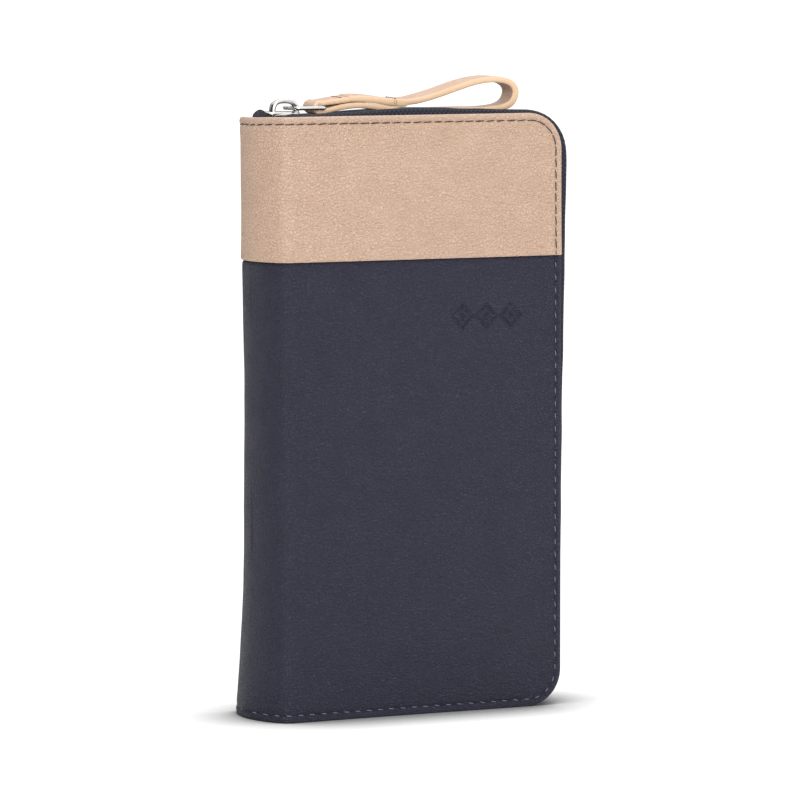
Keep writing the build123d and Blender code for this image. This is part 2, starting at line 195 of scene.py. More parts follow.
def curve_through(knots, step):
    """Points on a smooth Catmull-Rom curve through the knots."""
    knots = np.asarray(knots, float)
    knots = np.vstack([2 * knots[0] - knots[1], knots, 2 * knots[-1] - knots[-2]])
    out = []
    for i in range(len(knots) - 3):
        a, b, c, d = knots[i:i + 4]
        pieces = max(2, int(math.ceil(np.linalg.norm(c - b) / step)))
        for t in np.arange(pieces) / pieces:
            out.append(0.5 * (
                2 * b + (c - a) * t + (2 * a - 5 * b + 4 * c - d) * t ** 2
                + (3 * b - a - 3 * c + d) * t ** 3
            ))
    out.append(knots[-2])
    return np.array(out)


def resampled(line, count):
    """The same line with count evenly spaced points."""
    gone = run_along(line)
    at = np.linspace(0, gone[-1], count)
    return np.column_stack([np.interp(at, gone, line[:, k]) for k in range(line.shape[1])])


def tangents(path, closed=False):
    """Unit directions of travel along a path."""
    if closed:
        ahead = np.roll(path, -1, 0) - np.roll(path, 1, 0)
    else:
        ahead = np.gradient(path, axis=0)
    return ahead / np.linalg.norm(ahead, axis=1)[:, None]


def tube(shape, path, radius, reference, sides=8, closed=False, flat=1.0):
    """Adds a round tube along path. reference points away from it, to keep it from twisting;
    flat widens the tube that way."""
    path = np.asarray(path, float)
    count = len(path)
    along = tangents(path, closed)
    reference = np.broadcast_to(np.asarray(reference, float), path.shape)
    first = reference - (reference * along).sum(1)[:, None] * along
    first /= np.linalg.norm(first, axis=1)[:, None]
    second = np.cross(along, first)
    radius = np.broadcast_to(radius, count)
    turn = np.linspace(0, 2 * math.pi, sides, endpoint=False)
    ring = (
        np.cos(turn)[None, :, None] * first[:, None, :] * flat
        + np.sin(turn)[None, :, None] * second[:, None, :]
    )
    points = path[:, None, :] + ring * radius[:, None, None]
    uv = spread(run_along(path)[:, None], turn[None, :] * radius.max())
    faces = grid(count, sides, wrap=True)
    if closed:
        last = (count - 1) * sides
        faces += [(last + j, last + (j + 1) % sides, (j + 1) % sides, j) for j in range(sides)]
    else:
        faces += [tuple(range(sides)), tuple((count - 1) * sides + j for j in range(sides))]
    shape.add(points, faces, uv)


def slab(shape, outer, inner, bulge, uv, wear=None):
    """Adds a closed sheet between two blocks of points of the same layout; its rim stands out by bulge."""
    rows, columns = outer.shape[:2]
    loop = [(i, 0) for i in range(rows)] + [(rows - 1, j) for j in range(1, columns)]
    loop += [(i, columns - 1) for i in range(rows - 2, -1, -1)]
    loop += [(0, j) for j in range(columns - 2, 0, -1)]
    inside = [(min(max(i, 1), rows - 2), min(max(j, 1), columns - 2)) for i, j in loop]
    middle = (outer + inner) / 2
    rim = []
    for (i, j), (a, b) in zip(loop, inside):
        out = middle[i, j] - middle[a, b]
        rim.append(middle[i, j] + out / max(np.linalg.norm(out), 1e-9) * bulge)
    size, around = rows * columns, len(loop)
    ring = [i * columns + j for i, j in loop]
    faces = grid(rows, columns) + grid(rows, columns, size)
    for k in range(around):
        m = (k + 1) % around
        faces.append((ring[k], ring[m], 2 * size + m, 2 * size + k))
        faces.append((2 * size + k, 2 * size + m, size + ring[m], size + ring[k]))
    points = np.vstack([outer.reshape(-1, 3), inner.reshape(-1, 3), np.array(rim)])
    flat_uv = uv.reshape(-1, 2)
    uvs = np.vstack([flat_uv, flat_uv, flat_uv[ring]])
    flat_wear = np.zeros(size) if wear is None else np.asarray(wear, float).ravel()
    shape.add(points, faces, uvs, np.concatenate([flat_wear, flat_wear, flat_wear[ring]]))


def sheet(name, blocks, rim, uv, material, slot, wear=None):
    """A piece made of one slab."""
    shape = Shape()
    slab(shape, *blocks, rim, uv, wear)
    return shape.build(name, [material], slot, crease=60.0)


def rounded_outline(width, height, radius, steps=6):
    """A rectangle with round corners, anticlockwise, centred on the origin."""
    out = []
    for k, (sx, sy) in enumerate(((1, 1), (-1, 1), (-1, -1), (1, -1))):
        for a in np.linspace(0, QUARTER, steps) + k * QUARTER:
            out.append((
                sx * (width / 2 - radius) + radius * math.cos(a),
                sy * (height / 2 - radius) + radius * math.sin(a),
            ))
    return np.array(out)


def plate(shape, outline, low, high, bevel, place):
    """Adds a block with a rounded rim: an anticlockwise outline in two axes, low to high along
    the third. place(a, b, c) turns the three into x, y, z."""
    ahead = np.roll(outline, -1, 0) - np.roll(outline, 1, 0)
    out = np.column_stack([ahead[:, 1], -ahead[:, 0]])
    out /= np.linalg.norm(out, axis=1)[:, None]
    levels = []
    for a in np.linspace(0, QUARTER, 4):
        levels.append((low + bevel * (1 - math.sin(a)), bevel * (1 - math.cos(a))))
    levels = levels[::-1]
    levels += [(low + high - z, inset) for z, inset in levels[::-1]]
    rings = []
    for z, inset in levels:
        ring = outline - out * inset
        rings.append(place(ring[:, 0], ring[:, 1], np.full(len(ring), z)))
    count = len(outline)
    faces = grid(len(rings), count, wrap=True)
    faces += [tuple(range(count)), tuple((len(rings) - 1) * count + j for j in range(count))]
    shape.add(np.vstack(rings), faces)


def lying(x, y, z):
    """Place for plate: the outline lies in x and y."""
    return np.column_stack([x, y, z])


def facing_x(y, z, x):
    """Place for plate: the outline stands in y and z."""
    return np.column_stack([x, y, z])


def band(shape, path, width, thickness, rounding, kinds=(0, 0, 0), crown=0.0, roll=0.0):
    """Adds a strip with round edges along (x, z) points, width across y.

    kinds are the material numbers of its left side, its edges and its right side. thickness
    and roll, the rise of z along y, may change from point to point. crown domes both sides."""
    path = np.asarray(path, float)
    thickness = np.broadcast_to(thickness, len(path))
    roll = np.broadcast_to(roll, len(path))
    flat = np.column_stack([path[:, 0], np.zeros(len(path)), path[:, 1]])
    along = tangents(flat)
    left = np.column_stack([-along[:, 2], np.zeros(len(path)), along[:, 0]])
    side = width / 2
    section, marks = [], []
    for sign, mark in ((1, 0), (-1, 2)):
        for y in np.linspace(-1, 1, 7) * sign:
            section.append((sign * (1 + crown * (1 - y * y)), y * (side - rounding)))
            marks.append(mark)
        for a in (22.5, 45, 67.5, 90, 112.5, 135, 157.5):
            rim = math.cos(math.radians(a))
            section.append((sign * rim, sign * (side - rounding * (1 - math.sin(math.radians(a))))))
            marks.append(1)
    section = np.array(section)
    count = len(section)
    points = flat[:, None] + left[:, None] * section[None, :, :1] * thickness[:, None, None] / 2
    points = points + np.array([0, 1, 0]) * section[None, :, 1:]
    points[..., 2] += roll[:, None] * section[None, :, 1]
    uv = spread(run_along(flat)[:, None], run_along(section)[None, :])
    faces = grid(len(path), count, wrap=True)
    flat_side = [1 if 1 in (marks[j], marks[(j + 1) % count]) else marks[j] for j in range(count)]
    face_kinds = [kinds[m] for m in flat_side] * (len(path) - 1)
    faces += [tuple(range(count)), tuple((len(path) - 1) * count + j for j in range(count))]
    shape.add(points, faces, uv, kinds=face_kinds + [kinds[1]] * 2)


# ---- materials ----------------------------------------------------------------------
class Nodes:
    """A new node material; each call adds one node and returns it."""

    def __init__(self, name):
        self.material = bpy.data.materials.new(name)
        self.material.use_nodes = True
        self.tree = self.material.node_tree
        self.tree.nodes.clear()

    def __call__(self, kind, inputs=None, **settings):
        node = self.tree.nodes.new("ShaderNode" + kind)
        for key, value in settings.items():
            setattr(node, key, value)
        for key, value in (inputs or {}).items():
            if isinstance(value, bpy.types.NodeSocket):
                self.tree.links.new(value, node.inputs[key])
            else:
                node.inputs[key].default_value = value
        return node

    def coordinates(self, scale=(1, 1, 1), turn=0.0, source="UV"):
        where = self("TexCoord").outputs[source]
        return self("Mapping", {
            "Vector": where, "Scale": scale, "Rotation": (0, 0, math.radians(turn)),
        }).outputs["Vector"]

    def noise(self, where, scale, detail=3.0, rough=0.55, distortion=0.0):
        return self("TexNoise", {
            "Vector": where, "Scale": scale, "Detail": detail, "Roughness": rough,
            "Distortion": distortion,
        }).outputs["Fac"]

    def math(self, operation, a, b=0.0):
        return self("Math", {0: a, 1: b}, operation=operation).outputs[0]

    def span(self, value, low, high, out_low=0.0, out_high=1.0):
        return self("MapRange", {
            "Value": value, "From Min": low, "From Max": high, "To Min": out_low, "To Max": out_high,
        }).outputs["Result"]

    def mix(self, share, a, b):
        node = self("Mix", data_type="RGBA")
        for socket, value in zip((node.inputs[0], node.inputs[6], node.inputs[7]), (share, a, b)):
            if isinstance(value, bpy.types.NodeSocket):
                self.tree.links.new(value, socket)
            else:
                socket.default_value = value if isinstance(value, float) else (*value, 1.0)
        return node.outputs[2]

    def finish(self, colour, roughness, height=None, depth=0.1, **extra):
        """Closes the material. depth is the bump's height in millimetres."""
        inputs = {"Roughness": roughness}
        if isinstance(colour, bpy.types.NodeSocket):
            inputs["Base Color"] = colour
        else:
            inputs["Base Color"] = (*colour, 1.0)
        if height is not None:
            bump = self("Bump", {"Height": height, "Strength": 1.0, "Distance": depth * METRE})
            inputs["Normal"] = bump.outputs["Normal"]
        inputs.update({key.replace("_", " "): value for key, value in extra.items()})
        shader = self("BsdfPrincipled", inputs)
        self("OutputMaterial", {"Surface": shader.outputs["BSDF"]})
        return self.material


def leather(name, colour, deep, worn_and_highlit, pebble, depth, roughness, crease=0.5):
    """Grained leather: soft pebbles of a given size in mm, with fine pores and long faint creases.

    deep is the colour of painted shade in its valleys and creases, and of random mottling; the worn colour
    is that of rubbed edges and of a painted highlight on the colour seam's lip; crease the creases' share
    of height and of painted shade."""
    n = Nodes(name)
    where = n.coordinates()
    warp = n("TexNoise", {"Vector": where, "Scale": 55.0, "Detail": 2.0}).outputs["Color"]
    shifted = n("VectorMath", {0: warp, 1: (0.5, 0.5, 0.5)}, operation="SUBTRACT").outputs[0]
    shifted = n("VectorMath", {0: shifted, "Scale": 0.012}, operation="SCALE").outputs[0]
    moved = n("VectorMath", {0: where, 1: shifted}, operation="ADD").outputs[0]
    cells = n("TexVoronoi", {"Vector": moved, "Scale": 100.0 / pebble, "Randomness": 0.95},
              feature="DISTANCE_TO_EDGE").outputs["Distance"]
    valley = n.span(cells, 0.0, 0.17)
    long_where = n.coordinates((1.0, 2.3, 1.0), turn=28.0)
    folds = n.noise(long_where, 62.0, 3.0, 0.5, 0.4)
    ridge = n.math("ABSOLUTE", n.math("SUBTRACT", folds, 0.5))
    ridge = n.span(ridge, 0.0, 0.10)
    pores = n.noise(where, 620.0, 2.0)
    soft = n.noise(where, 9.0, 3.0)
    height = n.math("MULTIPLY", valley, 1.0 - crease * 0.4)
    height = n.math("ADD", height, n.math("MULTIPLY", ridge, crease))
    height = n.math("ADD", height, n.math("MULTIPLY", pores, 0.09))
    height = n.math("ADD", height, n.math("MULTIPLY", n.noise(where, 26.0, 2.0), 0.9))
    # painted shade: the colour is pulled towards deep in the grain's valleys, pores and creases, where
    # shading falls
    shade = n.math("MULTIPLY", n.span(valley, 0.0, 1.0, 0.32, 0.0),
                   n.span(pores, 0.3, 0.7, 0.6, 1.0))
    shade = n.math("ADD", shade, n.span(ridge, 0.0, 1.0, 0.10 * crease, 0.0))
    tone = n.mix(n.span(soft, 0.3, 0.7, 0.0, 0.25), colour, deep)
    tone = n.mix(shade, tone, deep)
    # wear and painted highlight: the attribute lightens rubbed edges towards the worn colour, and paints a
    # highlight along the lip at the colour seam
    wear = n("Attribute", attribute_name="wear").outputs["Fac"]
    worn_and_highlit_share = n.math("MULTIPLY", wear, n.span(n.noise(where, 70.0, 4.0), 0.3, 0.75, 0.35, 1.0))
    tone = n.mix(worn_and_highlit_share, tone, worn_and_highlit)
    gloss = n.span(n.math("ADD", pores, soft), 0.7, 1.3, roughness - 0.07, roughness + 0.07)
    return n.finish(tone, gloss, height, depth, Specular_IOR_Level=0.28)


def weave(name, colour, light, thread, depth):
    """Woven cloth: two sets of threads that pass over and under, thread mm apart."""
    n = Nodes(name)
    where = n.coordinates()
    axes = n("SeparateXYZ", {0: where})
    pitch = 2 * math.pi * 50.0 / thread
    across = n.math("SINE", n.math("MULTIPLY", axes.outputs[0], pitch))
    along = n.math("SINE", n.math("MULTIPLY", axes.outputs[1], pitch))
    over = n.math("MULTIPLY", across, along)
    height = n.math("ADD", n.math("MULTIPLY", over, 0.5), n.math("ABSOLUTE", across))
    height = n.math("ADD", height, n.math("ABSOLUTE", along))
    fuzz = n.noise(where, 900.0, 3.0)
    height = n.math("ADD", height, n.math("MULTIPLY", fuzz, 0.5))
    soft = n.noise(where, 14.0, 3.0)
    tone = n.mix(n.span(over, -1.0, 1.0, 0.0, 0.75), colour, light)
    tone = n.mix(n.span(soft, 0.3, 0.7, 0.0, 0.3), tone, colour)
    return n.finish(tone, n.span(fuzz, 0.3, 0.7, 0.8 - 0.1, 0.8 + 0.1), height, depth,
                    Specular_IOR_Level=0.12, Sheen_Weight=0.05, Sheen_Roughness=0.5)


def metal(name, colour, roughness):
    """Plated metal with fine handling scratches and a slight cast waviness."""
    n = Nodes(name)
    where = n.coordinates(source="Object")
    lines = n.noise(n.coordinates((1.0, 9.0, 1.0), turn=35.0, source="Object"), 1500.0, 3.0)
    waves = n.noise(where, 260.0, 2.0)
    stain = n.noise(where, 420.0, 4.0)
    height = n.math("ADD", n.math("MULTIPLY", lines, 0.25), waves)
    tone = n.mix(n.span(stain, 0.35, 0.75, 0.0, 0.3), colour, tuple(c * 0.72 for c in colour))
    gloss = n.math("ADD", n.span(stain, 0.3, 0.7, -0.04, 0.06), roughness)
    gloss = n.math("ADD", gloss, n.span(lines, 0.4, 0.7, 0.0, 0.08))
    return n.finish(tone, gloss, height, 0.03, Metallic=1.0)


def twisted_thread(name, colour, dark):
    """Sewing thread: plies wound at a slant with loose fibres."""
    n = Nodes(name)
    where = n.coordinates()
    slanted = n.coordinates(turn=40.0)
    plies = n("TexWave", {"Vector": slanted, "Scale": 90.0, "Distortion": 1.0},
              wave_type="BANDS").outputs["Fac"]
    fibre = n.noise(where, 900.0, 2.0)
    tone = n.mix(n.span(plies, 0.1, 0.8, 0.7, 0.0), colour, dark)
    tone = n.mix(n.span(fibre, 0.35, 0.75, 0.0, 0.35), tone, dark)
    return n.finish(tone, n.span(fibre, 0.3, 0.7, 0.55, 0.75), n.math("ADD", plies, fibre), 0.05)


def moulded(name, colour, light, roughness, depth=0.02, grain=500.0):
    """Nylon, paint or board: a fine uneven surface with slightly lighter high spots."""
    n = Nodes(name)
    where = n.coordinates(source="Object")
    fine = n.noise(where, grain, 3.0)
    soft = n.noise(where, grain / 9.0, 2.0)
    tone = n.mix(n.span(soft, 0.3, 0.7, 0.0, 0.6), colour, light)
    tone = n.mix(n.span(fine, 0.4, 0.8, 0.0, 0.5), tone, light)
    return n.finish(tone, n.span(fine, 0.3, 0.7, roughness - 0.08, roughness + 0.08), fine, depth)


def suede(name, colour, light):
    """The flesh side of leather: short matted fibres."""
    n = Nodes(name)
    where = n.coordinates()
    nap = n.noise(n.coordinates((1.0, 1.6, 1.0), turn=20.0), 520.0, 5.0, 0.7, 0.6)
    patch = n.noise(where, 30.0, 3.0)
    tone = n.mix(n.span(nap, 0.3, 0.7, 0.0, 1.0), colour, light)
    tone = n.mix(n.span(patch, 0.35, 0.7, 0.0, 0.4), tone, colour)
    return n.finish(tone, 0.92, nap, 0.12, Sheen_Weight=0.3, Sheen_Roughness=0.6)


# colours are linear red, green and blue
BEIGE = leather("beige_leather", (0.462, 0.319, 0.235), (0.318, 0.205, 0.139), (0.504, 0.376, 0.297),
                pebble=1.25, depth=0.22, roughness=0.56, crease=0.65)
NAVY = leather("navy_leather", (0.0200, 0.0195, 0.0385), (0.010, 0.010, 0.021), (0.042, 0.042, 0.066),
               pebble=1.3, depth=0.34, roughness=0.50, crease=0.7)
POCKET_LEATHER = leather("pocket_leather_fine", (0.024, 0.024, 0.040), (0.013, 0.013, 0.024),
                         (0.05, 0.05, 0.072), pebble=0.8, depth=0.09, roughness=0.46)
STRAP_TOP = leather("strap_leather", (0.53, 0.365, 0.275), (0.39, 0.25, 0.17), (0.59, 0.44, 0.35),
                    pebble=0.8, depth=0.10, roughness=0.5, crease=0.4)
STRAP_EDGE = moulded("strap_edge_paint", (0.52, 0.340, 0.205), (0.59, 0.42, 0.28), 0.48, grain=420.0)
STRAP_UNDER = suede("strap_flesh_side", (0.20, 0.105, 0.06), (0.42, 0.25, 0.155))
TAPE = weave("zip_tape_weave", (0.007, 0.007, 0.012), (0.045, 0.045, 0.064), 0.80, 0.16)
LINING = weave("lining_weave", (0.26, 0.25, 0.26), (0.36, 0.35, 0.36), 0.42, 0.06)
NICKEL = metal("bright_nickel", (0.60, 0.59, 0.57), 0.20)
COIL = moulded("nylon_coil", (0.010, 0.010, 0.016), (0.026, 0.026, 0.038), 0.40)
BOARD = moulded("grey_board", (0.42, 0.39, 0.35), (0.50, 0.47, 0.42), 0.85, depth=0.05, grain=900.0)
DARK_THREAD = twisted_thread("dark_thread", (0.028, 0.016, 0.015), (0.009, 0.006, 0.007))
LIGHT_THREAD = twisted_thread("light_thread", (0.155, 0.15, 0.19), (0.07, 0.067, 0.09))
TAN_THREAD = twisted_thread("tan_thread", (0.56, 0.40, 0.27), (0.34, 0.22, 0.14))
TAPE_THREAD = twisted_thread("tape_thread", (0.06, 0.06, 0.085), (0.02, 0.02, 0.03))


# ---- the leather's own surface -------------------------------------------------------
FLARE = 0.9                    # the front fold stands this much prouder at the foot
SPINE_FOOT_SWELL = 5.2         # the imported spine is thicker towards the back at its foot
SPINE_HEAD_SWELL = 2.5         # and, less so, at its head
FADE_X = 45.0                  # how far along x the swelling reaches


def packed(side, s, x, z):
    """Offsets in x, y and z of the full wallet's soft spine from its neat CAD shape."""
    near_spine = 1 - smooth_step(x, SPINE_X, SPINE_X + FADE_X)
    foot, head = np.exp(-((np.maximum(z, 0) / 32.0) ** 1.5)), smooth_step(z, 95.0, 205.0)
    amount = SPINE_FOOT_SWELL * foot + SPINE_HEAD_SWELL * head
    sideways, to_fold = smooth_step(s, 0.0, BULGE_LENGTH * 0.8), smooth_step(s, 0.0, BULGE_LENGTH)
    if side == BACK:
        dy = amount * (0.35 + 0.65 * sideways) * near_spine
        level, corner = 0.40, smooth_step(s, 6.0, BULGE_LENGTH)
    else:
        dy = amount * (0.35 * (1 - sideways)) * near_spine
        dy = dy - (FLARE * foot - 0.2 * head) * near_spine * to_fold
        level, corner = 0.40 * (1 - to_fold), 0.0
    dx = -(0.16 + 0.09 * foot) * amount * bump_at(s, 0, 13.0)
    on_spine = 1 - smooth_step(x, FOLD_X - 2, FOLD_X + 9)
    dz = -smooth_step(z, 172.0, HEIGHT) * (level + 0.75 * corner) * on_spine
    dz = dz + (1 - smooth_step(z, 0.0, 20.0)) * 0.95 * corner * on_spine
    return dx, dy, dz


def around(side, s, z, n):
    """A point of the skin: s along it from the middle of the spine, z up, n outwards."""
    s, z, n = np.broadcast_arrays(np.asarray(s, float), z, n)
    on_bulge = s < BULGE_LENGTH
    turn = np.where(
        on_bulge, s / BULGE_RADIUS,
        BULGE_TURN + np.clip((s - BULGE_LENGTH) / FOLD_RADIUS, 0, FOLD_TURN),
    )
    radius = np.where(on_bulge, BULGE_RADIUS, FOLD_RADIUS) + n
    x = np.where(on_bulge, BULGE_X, FOLD_X) - radius * np.cos(turn) + np.maximum(s - FLAT_START, 0)
    y = np.where(on_bulge, 0, HALF - FOLD_RADIUS) + radius * np.sin(turn)
    dx, dy, dz = packed(side, s, x, z)
    return np.stack([x + dx, side * y + dy, z + dz], -1)


def skin_s(x):
    """Distance along the skin of a point on the flat cover."""
    return FLAT_START + x - FOLD_X


def swell(side, s, z):
    """Slow shape of the leather over the board: a slight dome and soft waves."""
    from_fold = np.maximum(s - FLAT_START, 0)
    fade = [(SKIN_LENGTH - s, 16.0), (z, 16.0), (HEIGHT - z, 16.0), (from_fold, 14.0)]
    dome = 0.45
    for distance, width in fade:
        dome = dome * (1 - bump_at(distance, 0, width))
    where = spread(s * side, z)
    waves = 0.16 * ripple(where, 26.0, 3.1 + side) + 0.07 * ripple(where, 9.0, 7.7 + side)
    near_rim = np.minimum(np.minimum(SKIN_LENGTH - s, z), HEIGHT - z)
    return dome + waves * (0.35 + 0.65 * smooth_step(near_rim, 1.0, 9.0))


def seam_shape(beige, z):
    """The beige panel overlaps the navy one: a proud lip above, a shadow line below."""
    away = np.abs(z - SEAM_Z)
    if beige:
        return 0.42 * np.exp(-away / 7.0) - 0.28 * bump_at(away, 0, 0.28)
    return -0.42 * bump_at(away, 0, 0.9) - 0.35 * bump_at(away, 0, 0.45) - 0.10 * np.exp(-away / 3.0)


GROOVE = {"top": 2.45, "side": 2.3, "foot": 2.45}      # stitch line, in from the edge


def rim_shape(v, groove, along):
    """The turned edge: a soft roll, the sunk stitch line with its needle holes, then a pillow."""
    roll = 0.20 * bump_at(v, groove * 0.5, 0.75)
    line = -0.26 * bump_at(v, groove, 0.42)
    dimple = 0.5 + 0.5 * np.cos(2 * math.pi * along / STITCH_PITCH)
    holes = -0.12 * bump_at(v, groove, 0.55) * dimple ** 3
    return roll + line + holes + 0.10 * bump_at(v, groove + 1.9, 1.5)


MARK_X, MARK_Z = (10.9, 38.1), (128.0, 137.0)          # the pressed mark's place on the front
FINE_X, FINE_Z, FINE_STEP = (9.6, 39.4), (126.6, 138.4), 0.32      # the patch of finer mesh for it


def lozenges(s, z):
    """Depth of the pressed mark on the front: three plain open lozenges in a row."""
    (low_x, high_x), (low_z, high_z) = MARK_X, MARK_Z
    centre_z, reach = (low_z + high_z) / 2, (high_z - low_z) / 2
    x = s - skin_s(0)
    pressed = np.zeros(np.broadcast(s, z).shape)
    step = (high_x - low_x) / 3
    for k in range(3):
        off = np.abs(x - (low_x + (k + 0.5) * step)) / (step / 2 - 0.35)
        off = off + np.abs(z - centre_z) / reach
        line = np.abs(off - 0.84) * reach * 0.72
        pressed = np.maximum(pressed, 1 - smooth_step(line, 0.30, 0.85))
        pressed = np.maximum(pressed, 1 - smooth_step((off - 0.26) * reach * 0.72, -0.1, 0.45))
    return -0.42 * pressed


RIM_ROWS = [0.32, 0.6, 0.9, 1.25, 1.6, 1.9, 2.15, 2.4, 2.65, 2.95, 3.3, 3.8, 4.5, 5.5, 7.0, 9.2, CORNER]
EDGE_ROLL = [(0.10, 0.84), (0.0, 0.5), (0.10, 0.16)]   # inset and share of the thickness, inside to out
LEATHER = 1.2                                          # thickness behind the turned edge


def skin(side, colour):
    """Half of one colour's leather: from the middle of the spine, round the fold, to the free edge."""
    beige = colour == "beige"
    reach = HEIGHT - SEAM_Z if beige else SEAM_Z
    marked = side == FRONT and not beige
    mark_s = (skin_s(FINE_X[0]), skin_s(FINE_X[1]), FINE_STEP) if marked else ()
    mark_down = (*FINE_Z, FINE_STEP) if marked else ()
    across = joined(
        (0.0, 0.12), spaced(0.12, BULGE_LENGTH, 1.5), spaced(BULGE_LENGTH, FLAT_START, 0.3),
        refined(FLAT_START, RUN, 1.25, *mark_s),
    )
    at_seam = reach - np.array((1.2, 0.8, 0.5, 0.3, 0.15, 0))
    down = joined(refined(CORNER, reach - 1.6, 1.35, *mark_down), at_seam)
    rows = np.array(RIM_ROWS)
    turns = np.linspace(0, QUARTER, 15)[1:-1]
    outer_groove = GROOVE["top" if beige else "foot"]

    def plan(v):
        """Along-skin and in-from-edge distances of the whole rim at inset v, with the distance run."""
        radius = CORNER - v
        s = np.concatenate([across, RUN + radius * np.sin(turns), np.full(len(down), SKIN_LENGTH - v)])
        deep = np.concatenate([np.full(len(across), v), CORNER - radius * np.cos(turns), down])
        arc = (CORNER - GROOVE["side"]) * QUARTER
        run = np.concatenate([across, RUN + turns / QUARTER * arc, RUN + arc + down - CORNER])
        return s, deep, run

    nodes = len(across) + len(turns) + len(down)
    share = np.concatenate([np.zeros(len(across)), turns / QUARTER, np.ones(len(down))])
    groove = outer_groove + (GROOVE["side"] - outer_groove) * share

    def up(deep):
        return HEIGHT - deep if beige else deep

    def outer(s, deep, v=None, run=None, line=None):
        z = up(deep)
        n = swell(side, s, z) + seam_shape(beige, z)
        if v is not None:
            n = n + rim_shape(v, line, run)
        return n + lozenges(s, z) if marked and v is None else n

    def thick(s, v):
        turned = 1.55 + 1.15 * smooth_step(s, FLAT_START + 0.5, FLAT_START + 4)
        return LEATHER + (turned - LEATHER) * (1 - smooth_step(v, 1.6, 2.0))

    def rubbed_and_seam_highlight(s, deep):
        """Painted highlight along the lip at the colour seam, and wear where the leather turns into the
        spine.
        """
        return 0.9 * bump_at(deep, reach, 0.33) + 0.25 * bump_at(s, (BULGE_LENGTH + FLAT_START) / 2, 1.8)

    profile = [(v, 1.0) for v in rows[::-1]] + EDGE_ROLL + [(v, 0.0) for v in rows]
    strip, wear = np.zeros((nodes, len(profile), 3)), np.zeros((nodes, len(profile)))
    strip_uv = np.zeros((nodes, len(profile), 2))
    for k, (v, through) in enumerate(profile):
        s, deep, run = plan(v)
        top = outer(s, deep, max(v, rows[0]), run, groove)
        n = top + (-thick(s, v) - top) * through
        strip[:, k] = around(side, s, up(deep), n)
        strip_uv[:, k] = np.stack([s * side, up(deep)], -1)
        # wear at the turned edge, plus the painted highlight along the colour seam
        wear[:, k] = 0.55 * math.exp(-((v / 1.1) ** 2)) + rubbed_and_seam_highlight(s, deep)
    shape = Shape()
    columns = len(profile)
    faces = grid(nodes, columns)
    depth_rows = len(rows)
    first_outer = depth_rows + len(EDGE_ROLL)
    for node in (0, nodes - 1):
        base = node * columns
        for k in range(depth_rows - 1):
            a, b = base + depth_rows - 1 - k, base + depth_rows - 2 - k
            c, d = base + first_outer + k, base + first_outer + k + 1
            faces.append((a, b, d, c))
        faces.append(tuple(base + k for k in range(depth_rows - 1, first_outer + 1)))
    shape.add(strip, faces, strip_uv, wear)

    s, deep = np.meshgrid(across, down, indexing="ij")
    face = outer(s, deep)
    # the interior meets the strip where the rim's own shape has faded out
    face = face + rim_shape(CORNER, GROOVE["side"], s * 0)
    blocks = [around(side, s, up(deep), face), around(side, s, up(deep), -LEATHER)]
    size = len(across) * len(down)
    faces = grid(len(across), len(down)) + grid(len(across), len(down), size)
    last = len(down) - 1
    for i in range(len(across) - 1):
        a, b = i * len(down) + last, (i + 1) * len(down) + last
        faces.append((a, b, size + b, size + a))
    for j in range(last):
        faces.append((j, j + 1, size + j + 1, size + j))
    uv = np.stack([s * side, up(deep)], -1)
    shape.add(np.stack(blocks), faces, np.stack([uv, uv]), np.stack([rubbed_and_seam_highlight(s, deep)] * 2))
    name = f"{SIDE_NAME[side]}_skin_{colour}"
    piece = shape.build(name, [BEIGE if beige else NAVY], f"leather_{colour}", crease=52.0)
    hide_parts(f"{SIDE_NAME[side]}_leather_{colour}", f"spine_leather_{colour}")
    bend(piece, side, *LEATHER_FOLD)


# where soft pieces bend: a place on the spine and one on the cover, for the back side; bend does not use
# them
LEATHER_FOLD = (-51.9, 12.1, 100.0), (-47.3, 15.8, 100.0)
TAPE_FOLD = (-53.0, 0, 200.0), (-45.8, 0, 200.0)
LINING_FOLD = (-50.2, 9.0, 100.0), (-47.6, 12.4, 100.0)


def bend(piece, side, on_spine, on_cover):
    """Bakes the piece's transform into its mesh; the piece is not bent. on_spine and on_cover are not
    used.
    """
    if side == FRONT:
        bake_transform(piece)
    else:
        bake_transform(piece)


for side in (FRONT, BACK):
    for colour in ("beige", "navy"):
        skin(side, colour)


# ---- edge stitching ------------------------------------------------------------------
def outline(t, inset_top, inset_side, inset_foot):
    """(s, z) at distance t along the stitch line, from the top of the spine to its foot."""
    arc = (CORNER - inset_side) * QUARTER
    marks = np.cumsum([RUN, arc, RISE, arc, RUN])
    leg = int(np.searchsorted(marks, t))
    if leg == 0:
        return t, HEIGHT - inset_top
    if leg >= 4:
        return RUN - (t - marks[3]), inset_foot
    if leg == 2:
        return SKIN_LENGTH - inset_side, HEIGHT - CORNER - (t - marks[1])
    turn = (t - marks[leg - 1]) / (CORNER - inset_side)
    inset = inset_top + (inset_side - inset_top) * turn / QUARTER
    if leg == 3:
        inset = inset_side + (inset_foot - inset_side) * turn / QUARTER
        turn = QUARTER - turn
    out = CORNER - inset
    s, dz = RUN + out * math.sin(turn), out * math.cos(turn)
    return (s, HEIGHT - CORNER + dz) if leg == 1 else (s, CORNER - dz)


